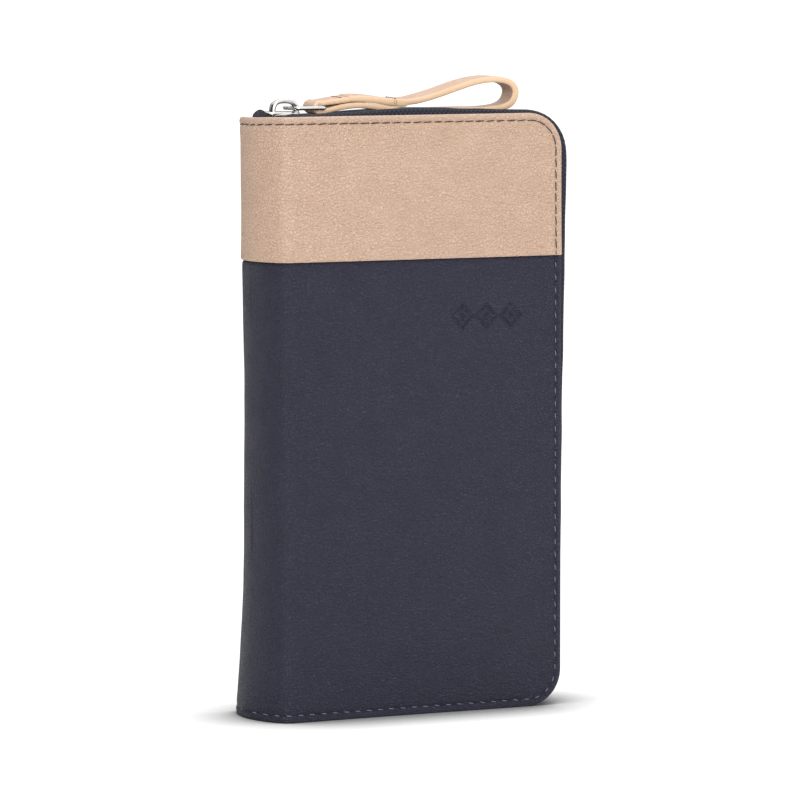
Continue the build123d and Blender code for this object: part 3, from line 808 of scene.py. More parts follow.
def edge_stitches(side):
    """Two pieces of thread: dark on the beige leather, light on the navy."""
    dark, light = Shape(), Shape()
    total = 2 * RUN + RISE + 2 * (CORNER - GROOVE["side"]) * QUARTER
    waver = np.random.default_rng(11 + side)
    start = 0.5
    while start < total - 3.0:
        on_beige = outline(start + 1.5, *GROOVE.values())[1] > SEAM_Z
        pitch, length = (STITCH_PITCH, 3.7) if on_beige else (4.25, 2.2)
        ends, bow = (-0.16, (0.04, 0.10, 0.12)) if on_beige else (-0.25, (0.0, 0.07, 0.09))
        rise = (ends, *bow, *bow[1::-1], ends)
        slant = 0.13 + waver.uniform(-0.09, 0.09)
        length *= waver.uniform(0.92, 1.04)
        path, out = [], []
        for j, lift in enumerate(rise):
            share = j / (len(rise) - 1)
            s, z = outline(start + length * share, *GROOVE.values())
            beige = z > SEAM_Z
            lean = slant * (share - 0.5) * 2
            z = z + (lean if s < RUN else 0)
            s = s + (lean if s >= RUN else 0)
            base = float(swell(side, np.array(s), np.array(z)) + seam_shape(beige, z)) - 0.22
            low, high = (around(side, s, z, base + lift + e) for e in (0, 1))
            path.append(low)
            out.append(high - low)
        width = np.array([0.10, 0.16, 0.18, 0.19, 0.18, 0.16, 0.10])
        tube(dark if on_beige else light, path, width, np.array(out), sides=7)
        start += pitch
    for shape, shade, material, slot in (
        (dark, "dark", DARK_THREAD, "leather_beige"), (light, "light", LIGHT_THREAD, "leather_navy"),
    ):
        piece = shape.build(f"{SIDE_NAME[side]}_edge_stitches_{shade}", [material], slot)
        bend(piece, side, *LEATHER_FOLD)


for side in (FRONT, BACK):
    edge_stitches(side)


# ---- main zip ---------------------------------------------------------------------------
ZIP_RUN = EDGE_X - CORNER - ZIP_X
ZIP_ARC = CORNER * QUARTER
ZIP_LENGTH = 2 * ZIP_RUN + RISE + 2 * ZIP_ARC
TAPE_FACE = -1.4               # the flat tape's outer face, from the leather's edge
COIL_RISE = 1.3
STOP_LENGTH = 1.8


def zip_line(t):
    """x, z and outward direction at distances t along the leather's edge, from the top of the spine."""
    t = np.asarray(t, float)
    marks = np.cumsum([ZIP_RUN, ZIP_ARC, RISE, ZIP_ARC])
    corner_x = EDGE_X - CORNER
    turn = sum(np.clip((t - marks[k]) / CORNER, 0, QUARTER) for k in (0, 2))
    x = np.where(t < marks[0], ZIP_X + t, corner_x + CORNER * np.sin(turn)) - np.maximum(t - marks[3], 0)
    z = np.where(t < marks[2], HEIGHT - CORNER, CORNER) + CORNER * np.cos(turn)
    z = z - np.where(t < marks[2], np.clip(t - marks[1], 0, RISE), 0)
    return x, z, np.sin(turn), np.cos(turn)


def zip_place(t, y, d):
    """A point d outside the leather's edge and y through the thickness."""
    x, z, out_x, out_z = zip_line(t)
    return spread(x + out_x * d, y, z + out_z * d)


# the tape's section: distance from the zip's middle, distance outside the leather's edge
ROLLED = [(12.4, -6.0), (12.4, -2.5), (12.42, -0.4), (12.15, 0.75), (11.4, 1.28), (10.6, 1.42), (9.7, 1.2),
          (8.3, 0.25), (6.9, -0.95), (5.5, -1.6), (4.3, -1.7), (2.8, -1.7), (1.4, -1.7)]
FLAT_TAPE = [(12.4, -6.0), (12.4, -4.0), (12.38, -2.9), (12.1, -2.0), (11.3, -1.72), (10.4, -1.7),
             (9.4, -1.7), (8.0, -1.7), (6.6, -1.7), (5.4, -1.7), (4.1, -1.7), (2.7, -1.7), (1.4, -1.7)]
# distance along the zip, setting of the roll's height there; the roll is drawn for NOMINAL_CREST
CREST = [(0, 0.7), (10, 0.8), (25, 1.3), (36, 2.1), (46, 2.4), (66, 1.75), (80, 1.2), (88, 0.85),
         (97, 2.2), (105, 4.0), (112, 4.1), (128, 3.6), (156, 3.2), (188, 2.5), (233, 2.1), (273, 1.9),
         (400, 1.72)]
NOMINAL_CREST = 1.72
BACK_CREST_DROP = 0.85         # the back tape lies lower along the top


def crest_at(side, t):
    """Smoothed height of the tape's roll at distances t."""
    dense = np.arange(-20.0, 420.0, 1.0)
    height = np.interp(dense, *zip(*CREST))
    if side == BACK:
        height = height - BACK_CREST_DROP * (1 - smooth_step(dense, ZIP_RUN - 6, ZIP_RUN + 14))
    width = 9
    weights = np.hanning(2 * width + 3)[1:-1]
    smooth = np.convolve(np.pad(height, width, mode="edge"), weights, "valid")
    return np.interp(t, dense, smooth / weights.sum())


def zip_tape(side):
    """The woven tape: a roll that stands beyond the leather, then a flat that carries the coil."""
    name = SIDE_NAME[side]
    t = joined(spaced(0, ZIP_LENGTH, 2.0), ZIP_RUN, ZIP_LENGTH - ZIP_RUN)
    fade_start = ZIP_RUN + ZIP_ARC + RISE - 14
    flatness = smooth_step(t, fade_start, fade_start + 26)
    rolled, flat = (resampled(curve_through(knots, 0.75), 34) for knots in (ROLLED, FLAT_TAPE))
    line = rolled[None] + (flat - rolled)[None] * flatness[:, None, None]
    on_roll = smooth_step(line[..., 1], -1.2, 1.2) * (1 - flatness)[:, None]
    line[..., 1] += (crest_at(side, t) - NOMINAL_CREST)[:, None] * on_roll
    wave = 0.06 * np.sin(t / 2.1)[:, None] * bump_at(line[..., 0], 10.4, 1.3)
    line[..., 1] += wave + 0.12 * ripple(spread(t[:, None], line[..., 0]), 14.0, 2.0 + side)
    along = np.gradient(line, axis=1)
    along /= np.linalg.norm(along, axis=2)[..., None]
    normal = np.stack([-along[..., 1], along[..., 0]], -1) * -1
    blocks = []
    for shift in (0.3, -0.3):
        moved = line + normal * shift
        blocks.append(zip_place(t[:, None], side * moved[..., 0], moved[..., 1]))
    uv = spread(t[:, None], run_along(rolled)[None, :])
    piece = sheet(f"{name}_zip_tape", blocks, 0.12, uv, TAPE, "zip_tape")
    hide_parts(f"zip_tape_{name}")
    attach(piece, COVER[side])
    tape_tail(side, line[0][8:26])


def tape_tail(side, section):
    """The tape's end at the spine: its flat part, which narrows and dips behind the slider."""
    q = np.linspace(-0.12, 1.0, 12)
    x = ZIP_X - 7.4 * q
    narrow = 1 - 0.42 * np.clip(q, 0, 1) ** 2
    drop = 3.0 * np.clip(q, 0, 1) ** 1.6
    blocks = []
    ahead = np.gradient(section, axis=0)
    ahead /= np.linalg.norm(ahead, axis=1)[:, None]
    out = np.column_stack([ahead[:, 1], -ahead[:, 0]])
    for shift in (0.34, -0.34):
        moved = section + out * shift
        y = side * moved[None, :, 0] * narrow[:, None]
        z = HEIGHT + moved[None, :, 1] - drop[:, None]
        blocks.append(spread(x[:, None], y, z))
    uv = spread(x[:, None], section[None, :, 0])
    tail = sheet(f"{SIDE_NAME[side]}_zip_tape_tail", blocks, 0.12, uv, TAPE, "zip_tape")
    bend(tail, side, *TAPE_FOLD)


COIL_PITCH = 1.3
COIL_WIRE = 0.27
SEWN_Y = 2.25                  # where the thread that holds the coil runs


def coil_path(start, end, pitch, near, far, low, high, shift, side):
    """Arrays t, y, d and angle of a flattened spiral that runs along a zip and hooks past its middle."""
    steps = 12
    angle = np.arange(int((end - start) / pitch) * steps + 1) * 2 * math.pi / steps
    t = start + shift + angle / (2 * math.pi) * pitch
    lean = np.sin(angle + 0.6) * pitch * 0.16
    y = side * ((near + far) / 2 + (far - near) / 2 * np.cos(angle))
    d = (low + high) / 2 + (high - low) / 2 * np.sin(angle)
    return t + lean, y, d, angle


def zip_coil(side):
    """A row of spiral loops on the tape with its sewing cord, and its metal stop at the top."""
    name = SIDE_NAME[side]
    shift = 0.0 if side == FRONT else COIL_PITCH / 2
    low, high = TAPE_FACE + COIL_WIRE, TAPE_FACE + COIL_RISE - COIL_WIRE
    start, end = STOP_LENGTH + 0.6, ZIP_LENGTH - STOP_LENGTH - 2.6
    t, y, d, angle = coil_path(start, end, COIL_PITCH, -0.55, 2.9, low, high, shift, side)
    path = zip_place(t, y, d)
    out = zip_place(t, y + side * np.cos(angle), d + np.sin(angle)) - path
    shape = Shape()
    tube(shape, path, COIL_WIRE, out, sides=6)
    cord_t = spaced(STOP_LENGTH + 0.4, ZIP_LENGTH - STOP_LENGTH - 2.4, 1.3)
    cord = zip_place(cord_t, side * 1.55, TAPE_FACE + COIL_RISE / 2)
    tube(shape, cord, 0.26, (0, 1, 0), sides=6)
    piece = shape.build(f"{name}_zip_coil", [COIL], "zip_coil")
    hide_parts(f"zip_coil_{name}")
    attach(piece, COVER[side])

    thread = Shape()
    heights = TAPE_FACE + COIL_RISE - 0.1 + np.array([-0.25, 0.05, 0.05, -0.25])
    for at in np.arange(STOP_LENGTH + 1.5, ZIP_LENGTH - 6, COIL_PITCH * 2):
        ts = np.linspace(at, at + COIL_PITCH * 1.7, 4)
        tube(thread, zip_place(ts, side * SEWN_Y, heights), 0.13, (0, 1, 0), sides=5)
    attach(thread.build(f"{name}_zip_coil_thread", [TAPE_THREAD], "zip_tape"), COVER[side])

    stop_low, stop_high = node_box(f"zip_top_stop_{name}")
    metal_block(f"{name}_zip_top_stop", stop_low, stop_high, COVER[side], f"zip_top_stop_{name}")


def metal_block(name, low, high, body, node):
    """A small pressed metal stop that fills its CAD node's box, with round edges."""
    shape = Shape()
    width, depth = high[0] - low[0], high[1] - low[1]
    middle = (low + high) / 2
    ring = rounded_outline(width, depth, min(width, depth) * 0.3)
    plate(shape, ring + middle[:2], low[2], high[2], 0.38, lying)
    piece = shape.build(name, [NICKEL], "nickel")
    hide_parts(node)
    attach(piece, body)


for side in (FRONT, BACK):
    zip_tape(side)
    zip_coil(side)
metal_block("zip_foot_stop", *node_box("zip_bottom_stop"), "back_cover", "zip_bottom_stop")


def end_tab(which):
    """The folded tape end that closes the zip at one end of the spine."""
    low, high = node_box(f"zip_end_tab_{which}")
    rows, columns = 9, 15
    a, b = np.meshgrid(np.linspace(0, 1, rows), np.linspace(-1, 1, columns), indexing="ij")
    sag = 1.8 * b ** 2 if which == "top" else 0.0
    blocks = []
    reach = high[0] - low[0]
    for share in (0.0, 1.0):
        inward = 0.9 * b ** 2 * (1 - share)
        x = low[0] + 0.15 + inward + (reach - 0.3 - inward) * share
        y = b * (high[1] - 0.2)
        peak = (share * 5.0 - 3.6) * a ** 2 if which == "top" else 0.0
        z = low[2] + 0.1 + (high[2] - low[2] - 0.2) * a - sag * a + peak
        blocks.append(spread(x, y, z))
    shape = Shape()
    slab(shape, *blocks, 0.25, blocks[0][..., 1:])
    piece = shape.build(f"zip_tab_{which}", [TAPE], "zip_tape")
    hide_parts(f"zip_end_tab_{which}")
    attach(piece, "spine")


for which in ("top", "bottom"):
    end_tab(which)


# ---- slider, bridge and ring --------------------------------------------------------------
slider_low, slider_high = node_box("zip_slider_body")
ring_low, ring_high = node_box("pull_ring")
PLATE_FOOT, PLATE_HEAD = 0.9, 1.2
WIRE = (ring_high[2] - ring_low[2]) / 2


def slider_outline(scale):
    """Plan of a coil slider: two shoulders at the front, narrower behind."""
    length, width = slider_high[0] - slider_low[0], (slider_high[1] - slider_low[1]) * scale
    ring = rounded_outline(length, width, 2.6, 7)
    taper = 1 - 0.20 * smooth_step(ring[:, 0], -0.1 * length, 0.5 * length)
    pinch = 1 - 0.055 * bump_at(ring[:, 0], 0.05 * length, 2.6)
    ring[:, 1] *= taper * pinch
    return ring + np.array([(slider_low[0] + slider_high[0]) / 2, 0])


def slider():
    """The main slider: two plates, their post and side walls, and the bridge that holds the ring."""
    shape = Shape()
    plate(shape, slider_outline(0.97), slider_low[2], slider_low[2] + PLATE_FOOT, 0.40, lying)
    plate(shape, slider_outline(1.0), slider_high[2] - PLATE_HEAD, slider_high[2], 0.50, lying)
    post = rounded_outline(1.9, 1.5, 0.7, 5) + np.array([slider_low[0] + 1.6, 0])
    plate(shape, post, slider_low[2] + 0.4, slider_high[2] - 0.6, 0.15, lying)
    x = np.linspace(slider_low[0] + 2.4, slider_high[0] - 1.0, 12)
    half_width = 4.02 * (1 - 0.17 * smooth_step(x, -44.0, slider_high[0]))
    for sign in (-1, 1):
        wall = spread(x, sign * half_width, slider_high[2] - PLATE_HEAD + 0.1)
        tube(shape, wall, np.array([0.3] + [0.42] * 10 + [0.3]), (0, 0, 1), flat=1.5)
    piece = shape.build("slider_body", [NICKEL], "nickel", crease=50.0)
    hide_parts("zip_slider_body")
    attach(piece, "zip_slider")

    crown = Shape()
    knots = [(-47.15, 200.9), (-47.1, 202.0), (-46.7, 203.4), (-45.6, 204.35), (-43.9, 204.72),
             (-42.0, 204.72), (-40.4, 204.45), (-39.2, 203.85), (-38.65, 203.0), (-38.5, 202.0),
             (-38.5, 200.9)]
    band(crown, curve_through(knots, 0.45), 3.1, 1.45, 0.7, crown=0.1)
    piece = crown.build("slider_crown", [NICKEL], "nickel", crease=50.0)
    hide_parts("zip_slider_bridge")
    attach(piece, "zip_slider")


def ring():
    """The wire ring. Returns x and z of its far bar, which holds the strap."""
    shape = Shape()
    length, width = ring_high[0] - ring_low[0] - 2 * WIRE, ring_high[1] - ring_low[1] - 2 * WIRE
    flat = rounded_outline(length, width, 1.0, 7)
    middle = (ring_low + ring_high) / 2
    ahead = np.linalg.norm(np.diff(flat, axis=0), axis=1)
    flat = flat[np.concatenate(([True], ahead > 1e-6))]
    path = np.column_stack([flat[:, 0] + middle[0], flat[:, 1], np.full(len(flat), middle[2])])
    dense = []
    for a, b in zip(path, np.roll(path, -1, 0)):
        pieces = max(1, int(np.linalg.norm(b - a) / 0.7))
        dense += [a + (b - a) * k / pieces for k in range(pieces)]
    tube(shape, dense, WIRE, (0, 0, 1), sides=16, closed=True)
    piece = shape.build("strap_ring", [NICKEL], "nickel", crease=60.0)
    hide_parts("pull_ring")
    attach(piece, "pull_ring")
    return middle[0] + length / 2, middle[2]


slider()
RING_BAR_X, RING_Z = ring()

# ---- wrist strap ----------------------------------------------------------------------------
STRAP_LEATHER = 1.95           # thickness of one layer
strap_low, strap_high = node_box("pull_strap")
STRAP_WIDTH = strap_high[1] - strap_low[1] - 0.1
EYE_X, EYE_Z, EYE_RADIUS = RING_BAR_X - 1.5, RING_Z + 0.1, 1.6      # the slack eye round the ring's bar
TIE_X = -4.0                   # the tie that closes the loop


def strap():
    """One strip: doubled and sewn at the ring's end, lying on the zip, and open as a loop beyond.

    sewn holds x, underside, top and roll, the others x, z, thickness and roll, where roll is
    how far the strip leans towards the front there."""
    sewn = [(0.7, 202.9, 204.7, 0.04), (0.1, 202.35, 204.85, 0.04), (-2.9, 202.4, 205.0, 0.04),
            (-6.3, 202.9, 205.25, 0.05), (-10.5, 203.55, 205.8, 0.06), (-14.7, 204.0, 206.15, 0.07),
            (-18.6, 204.2, 206.2, 0.07), (-20.3, 204.15, 206.1, 0.07), (-20.6, 204.1, 205.75, 0.07),
            (-23.0, 203.85, 205.65, 0.05), (-27.2, 203.4, 205.15, 0.04), (-30.5, 203.15, 204.7, 0.03)]
    eye = [(EYE_X - EYE_RADIUS * math.sin(a), EYE_Z + EYE_RADIUS * math.cos(a), 1.5, 0.03)
           for a in np.radians((0, 36, 72, 108, 144, 180))]
    under = [(-30.2, 201.15, 1.6), (-27.2, 201.8, 1.75), (-23.0, 202.62), (-18.8, 203.05), (-14.7, 202.95),
             (-10.5, 202.45), (-6.0, 201.75), (-2.0, 201.15), (4.0, 200.9), (12.0, 200.85), (22.0, 200.85),
             (30.0, 200.9)]
    loop = [(36.6, 201.55, 2.1, 0.01), (40.2, 203.1, 2.3, 0.02), (41.75, 205.9, 2.35, 0.03),
            (41.2, 208.5, 2.3, 0.03), (38.8, 210.2, 2.1, 0.03), (35.0, 210.9, 2.0, 0.03),
            (31.0, 210.85, 1.95, 0.05), (27.0, 210.25, 1.95, 0.07), (23.4, 209.35, 1.95, 0.09),
            (18.8, 208.0, 1.95, 0.10), (14.3, 206.6, 1.95, 0.10), (9.8, 205.35, 1.95, 0.10),
            (5.3, 204.35, 1.95, 0.09), (2.0, 203.9, 1.9, 0.07), (-1.5, 203.8, 1.8, 0.05)]
    knots = [(x, (low + high) / 2, high - low, roll) for x, low, high, roll in sewn] + eye
    knots += [(*place, STRAP_LEATHER, 0.01)[:4] if len(place) == 2 else (*place, 0.01) for place in under]
    knots += loop
    path = curve_through(knots, 0.7)
    tilt = path[:, 3]
    shape = Shape()
    middle = path[:, :2] + np.column_stack([np.zeros(len(path)), tilt * STRAP_WIDTH / 2])
    band(shape, middle, STRAP_WIDTH, path[:, 2], 0.45, kinds=(2, 1, 0), crown=0.07, roll=tilt)
    piece = shape.build("wrist_strap", [STRAP_TOP, STRAP_EDGE, STRAP_UNDER], "leather_beige", crease=48.0)
    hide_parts("pull_strap")
    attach(piece, "pull_strap")

    thread, tie = Shape(), Shape()
    side_y = STRAP_WIDTH / 2
    for x, high, roll in ((TIE_X, 205.08, 0.045), (-24.2, 205.58, 0.05)):
        for y in np.arange(-side_y + 0.35, side_y - 1.0, 1.55):
            rise = high + roll * (y + side_y)
            path = [(x + 0.45, y, rise - 0.25), (x + 0.5, y + 0.15, rise + 0.05),
                    (x + 0.5, y + 0.6, rise + 0.12), (x + 0.5, y + 1.0, rise + 0.05),
                    (x + 0.45, y + 1.15, rise - 0.25)]
            tube(thread, path, np.array([0.12, 0.2, 0.22, 0.2, 0.12]), (0, 0, 1), sides=7)
    bow = [(0.7, 205.0), (0.2, 204.95), (-0.1, 204.4), (-0.12, 203.7), (-0.1, 203.0), (0.2, 202.55),
           (0.7, 202.6)]
    for x in (TIE_X, TIE_X + 0.75):
        tube(tie, [(x, -side_y + y, z) for y, z in bow], 0.13, (1, 0, 0), sides=7)
    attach(thread.build("strap_stitches", [DARK_THREAD], "leather_beige"), "pull_strap")
    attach(tie.build("strap_tie_thread", [TAN_THREAD], "leather_beige"), "pull_strap")


strap()


# ---- panels inside ----------------------------------------------------------------------------
def panel(name, node, body, facing, material, slot, stitches, drop, seed, sewn="xXz", lift=0.10, notch=0.0,
          seams=()):
    """A thin sewn panel that fills its node in x and z. facing is the way its seen face looks along y.

    sewn names the edges held down, by drop mm: x low side, X high side, z foot, Z head. The
    others are open lips, raised by lift. notch is a thumb notch's radius, seams are cross seams."""
    low, high = node_box(node)
    (x0, _, z0), (x1, _, z1) = low, high
    face_y = (low if facing < 0 else high)[1]

    def edges(x, z):
        return (("x", x - x0), ("X", x1 - x), ("z", z - z0), ("Z", z1 - z))

    def sunk(x, z):
        """Height of the face with its sewn edges and cross seams pulled in."""
        n = 0.07 * ripple(np.stack([x, z], -1), 22.0, seed)
        for edge, away in edges(x, z):
            if edge in sewn:
                n = n - drop * bump_at(away, 0, 1.5) - 0.13 * bump_at(away, 1.8, 0.35)
        for seam in seams:
            n = n - 0.28 * bump_at(z, seam, 1.0)
        return n

    rim = np.array([0, 0.35, 0.8, 1.3, 1.8, 2.3, 3.0, 4.2])
    us = joined(x0 + rim, spaced(x0 + 4.2, x1 - 4.2, 2.2), x1 - rim)
    if notch:
        us = joined(us, spaced(-notch - 1.5, notch + 1.5, 0.55))
    ws = joined(z0 + rim, spaced(z0 + 4.2, z1 - 4.2, 2.6), z1 - rim)
    for seam in seams:
        ws = joined(ws, seam + np.array([-2.4, -1.6, -0.9, -0.4, 0, 0.4, 0.9, 1.6, 2.4]))
    x, z = np.meshgrid(us, ws, indexing="ij")
    n, wear = sunk(x, z), np.zeros_like(x)
    for edge, away in edges(x, z):
        wear = np.maximum(wear, 0.5 * bump_at(away, 0, 0.6))
        if edge not in sewn:
            n = n + lift * bump_at(away, 0.9, 0.8) - 0.14 * bump_at(away, 2.2, 0.3)
    if notch:
        cut = notch * np.sqrt(np.clip(1 - (x / notch) ** 2, 0, 1))
        z = z - cut * smooth_step(z, z1 - 32, z1)
    blocks = [spread(x, face_y + facing * level, z) for level in (n, n * 0.4 - 0.6)]
    piece = sheet(name, blocks, 0.18, np.stack([x, z], -1) + 17.0 * seed, material, slot, wear)
    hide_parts(node)
    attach(piece, body)

    inset, lip, pitch = 1.8, 2.2, 3.0          # stitch lines at sewn edges and at open lips, and spacing
    left, right, foot, head = x0 + inset, x1 - inset, z0 + inset, z1 - inset
    lines = [
        line for edge, line in (
            ("x", ((left, foot), (left, head))), ("X", ((right, foot), (right, head))),
            ("z", ((left, foot), (right, foot))), ("Z", ((left, head), (right, head))),
        ) if edge in sewn
    ]
    lines += [((left, seam), (right, seam)) for seam in seams]
    if not notch:
        lips = ("X", ((x1 - lip, foot), (x1 - lip, head))), ("Z", ((left, z1 - lip), (right, z1 - lip)))
        lines += [line for edge, line in lips if edge not in sewn]
    for (xa, za), (xb, zb) in lines:
        length = math.hypot(xb - xa, zb - za)
        for k in range(int(length / pitch)):
            share = np.linspace((k * pitch + 0.3) / length, (k * pitch + 2.5) / length, 5)
            px, pz = xa + (xb - xa) * share, za + (zb - za) * share
            level = sunk(px, pz) + np.array((-0.2, 0.04, 0.09, 0.04, -0.2)) + 0.04
            path = spread(px, face_y + facing * level, pz)
            tube(stitches, path, np.array([0.09, 0.15, 0.17, 0.15, 0.09]), (0, 1, 0), sides=6)


def box_ranges(node):
    low, high = node_box(node)
    return (low[0], high[0]), (low[2], high[2])


def interior():
    """Linings, pockets and card slots of both covers, sewn with light thread."""
    stitches = {FRONT: Shape(), BACK: Shape()}
    for side in (FRONT, BACK):
        rounded_sheet(f"{SIDE_NAME[side]}_cover_lining", side, *box_ranges(f"{SIDE_NAME[side]}_lining"))
        gutter(side)

    def pocket(name, node, side, **more):
        panel(name, node, COVER[side], -side, POCKET_LEATHER, "pocket_leather", stitches[side], **more)

    pocket("passport_pocket", "passport_sleeve", FRONT, drop=0.5, seed=1.3, notch=11.0)
    pocket("boarding_pass_pocket", "ticket_pocket", FRONT, drop=0.35, seed=2.9)
    pocket("banknote_pocket", "note_pocket", BACK, drop=0.25, seed=4.1, sewn="xzZ")
    for row in range(1, 5):
        pocket(f"card_pocket_{row}", f"card_slot_{row}", BACK, drop=0.25, seed=5.0 + row, sewn="xzZ",
               seams=(HEIGHT / 2,))
    for side in (FRONT, BACK):
        name = f"{SIDE_NAME[side]}_pocket_stitches"
        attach(stitches[side].build(name, [LIGHT_THREAD], "pocket_leather"), COVER[side])


def rounded_sheet(name, side, xs, zs):
    """The cloth lining of a cover, cut with the cover's round corners."""
    radius = CORNER - 2.0
    us = joined(spaced(xs[0], xs[1] - radius, 2.5), spaced(xs[1] - radius, xs[1], 1.0))
    x, w = np.meshgrid(us, joined(spaced(0, 1, 0.02)), indexing="ij")
    past = np.clip(x - (xs[1] - radius), 0, radius)
    trim = radius - np.sqrt(np.clip(radius ** 2 - past ** 2, 0, None))
    trim = np.minimum(trim, radius * 0.96)
    z = zs[0] + trim + (zs[1] - zs[0] - 2 * trim) * w
    n = 0.05 * ripple(np.stack([x, z], -1), 18.0, 9.0 + side)
    blocks = []
    for level in (LINING_Y + 0.02, LINING_Y + 0.56):
        blocks.append(np.stack([x, side * (level - n * (level < LINING_Y + 0.3)), z], -1))
    piece = sheet(name, blocks, 0.1, np.stack([x, z], -1), LINING, "lining")
    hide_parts(f"{SIDE_NAME[side]}_lining")
    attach(piece, COVER[side])


def gutter(side):
    """The slack fold of lining between the spine and a cover."""
    knots = [(-50.9, 8.2), (-49.4, 8.9), (-47.7, 10.1), (-46.9, 11.4), (-47.1, 12.4), (-47.9, 12.75)]
    line = curve_through(knots, 0.5)
    zs = spaced(4.5, HEIGHT - 6.0, 3.0)
    along = tangents(line)
    out = np.column_stack([-along[:, 1], along[:, 0]])
    blocks = []
    pleat = 0.12 * np.sin(zs / 3.7)[None, :] * np.sin(np.linspace(0, math.pi, len(line)))[:, None]
    for shift in (0.0, 0.4):
        moved = line[:, None] + out[:, None] * (shift + pleat[..., None])
        blocks.append(spread(moved[..., 0], side * moved[..., 1], zs[None, :]))
    uv = spread(run_along(line)[:, None], zs[None, :])
    piece = sheet(f"{SIDE_NAME[side]}_lining_gutter", blocks, 0.08, uv, LINING, "lining")
    bend(piece, side, *LINING_FOLD)


interior()


# ---- coin pocket on the spine -------------------------------------------------------------------
def coin_pocket():
    """Two cloth panels, the gusset between them, the spine's lining and the pocket's zip."""
    stitches = Shape()
    for side in (FRONT, BACK):
        name = SIDE_NAME[side]
        panel(f"coin_pocket_{name}", f"divider_panel_{name}", "spine", side, LINING, "lining", stitches,
              drop=0.12, seed=12.0 + side, sewn="xzZ", lift=0.05)
    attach(stitches.build("coin_pocket_stitches", [LIGHT_THREAD], "lining"), "spine")
    xs, zs = box_ranges("coin_gusset")
    inner = node_box("coin_gusset")[1][1]
    gusset = Shape()
    seam = 1.2
    for z_low, z_high in ((zs[0], zs[0] + seam), (zs[1] - seam, zs[1])):
        strip_sheet(gusset, xs, inner, (z_low, z_high), 26)
    strip_sheet(gusset, (xs[0], xs[0] + seam), inner, (zs[0] + seam + 0.1, zs[1] - seam - 0.1), 40)
    piece = gusset.build("coin_pocket_gusset", [LINING], "lining", crease=60.0)
    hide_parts("coin_gusset")
    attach(piece, "spine")
    spine_lining()
    coin_zip()


def strip_sheet(shape, xs, half_y, zs, count):
    """A narrow filler strip between the two sides of the coin pocket."""
    long_x = xs[1] - xs[0] > zs[1] - zs[0]
    a, b = np.meshgrid(np.linspace(0, 1, count), np.linspace(-1, 1, 9), indexing="ij")
    blocks = []
    for share in (0.0, 1.0):
        dent = 0.2 * (1 - b ** 2) * (1 if share else -1)
        if long_x:
            x, z = xs[0] + (xs[1] - xs[0]) * a, zs[0] + (zs[1] - zs[0]) * share - dent * 0.5
        else:
            x, z = xs[0] + (xs[1] - xs[0]) * share - dent * 0.5, zs[0] + (zs[1] - zs[0]) * a
        blocks.append(spread(x, b * (half_y - 0.05), z))
    uv = np.stack([blocks[0][..., 0] + blocks[0][..., 2], blocks[0][..., 1]], -1)
    slab(shape, *blocks, 0.05, uv)


def spine_lining():
    """The cloth inside the spine, flat towards the pockets and round at the back."""
    low, high = node_box("spine_lining")
    y, z = np.meshgrid(np.linspace(low[1] + 0.2, high[1] - 0.2, 21),
                       spaced(low[2] + 0.2, high[2] - 0.2, 3.0), indexing="ij")
    back = BULGE_X - np.sqrt((BULGE_RADIUS - 2.3) ** 2 - y ** 2)
    flat = high[0] - 0.25 + 0.15 * ripple(np.stack([y, z], -1), 12.0, 21.0)
    blocks = [np.stack([x, y, z], -1) for x in (flat, back)]
    piece = sheet("spine_inner_lining", blocks, 0.15, np.stack([y, z], -1), LINING, "lining")
    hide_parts("spine_lining")
    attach(piece, "spine")


def coin_zip():
    """The pocket's own zip: tapes, coils, stops, slider and pull."""
    for side in (FRONT, BACK):
        coin_zip_side(side)

    low, high = node_box("coin_zip_stops")
    shape = Shape()
    length = 1.8
    ring = rounded_outline(high[1] - low[1], length, 0.5) + np.array([0, high[2] - length / 2])
    plate(shape, ring, low[0], high[0], 0.3, facing_x)
    for sign in (-1, 1):
        ring = rounded_outline(1.2, 1.6, 0.35) + np.array([sign * 1.3, low[2] + 0.8])
        plate(shape, ring, low[0], high[0], 0.3, facing_x)
    piece = shape.build("coin_stops", [NICKEL], "nickel")
    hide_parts("coin_zip_stops")
    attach(piece, "spine")

    low, high = node_box("coin_slider_body")
    length, width = high[2] - low[2], high[1] - low[1]
    flat = rounded_outline(width, length, 1.9, 7)
    flat[:, 0] *= 1 - 0.18 * smooth_step(flat[:, 1], 0, length / 2)
    flat = flat + np.array([0, (low[2] + high[2]) / 2])
    shape = Shape()
    for x in (low[0], high[0] - 0.8):
        plate(shape, flat, x, x + 0.8, 0.32, facing_x)
    post = rounded_outline(0.8, 0.9, 0.3, 4) + np.array([0, low[2] + 1.3])
    plate(shape, post, low[0] + 0.4, high[0] - 0.4, 0.1, facing_x)
    piece = shape.build("coin_slider", [NICKEL], "nickel", crease=50.0)
    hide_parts("coin_slider_body")
    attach(piece, "coin_slider")

    low, high = node_box("coin_slider_bridge")
    foot, head = low[2] + 0.45, high[2] - 0.45
    knots = [(low[0] - 0.2, foot), (low[0] + 0.9, foot), (high[0] - 0.75, foot + 0.35),
             (high[0] - 0.38, foot + 1.3), (high[0] - 0.38, head - 1.3), (high[0] - 0.75, head - 0.35),
             (low[0] + 0.9, head), (low[0] - 0.2, head)]
    shape = Shape()
    band(shape, curve_through(knots, 0.4), high[1] - low[1], 0.74, 0.33)
    piece = shape.build("coin_slider_crown", [NICKEL], "nickel", crease=50.0)
    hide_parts("coin_slider_bridge")
    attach(piece, "coin_slider")
    coin_pull()


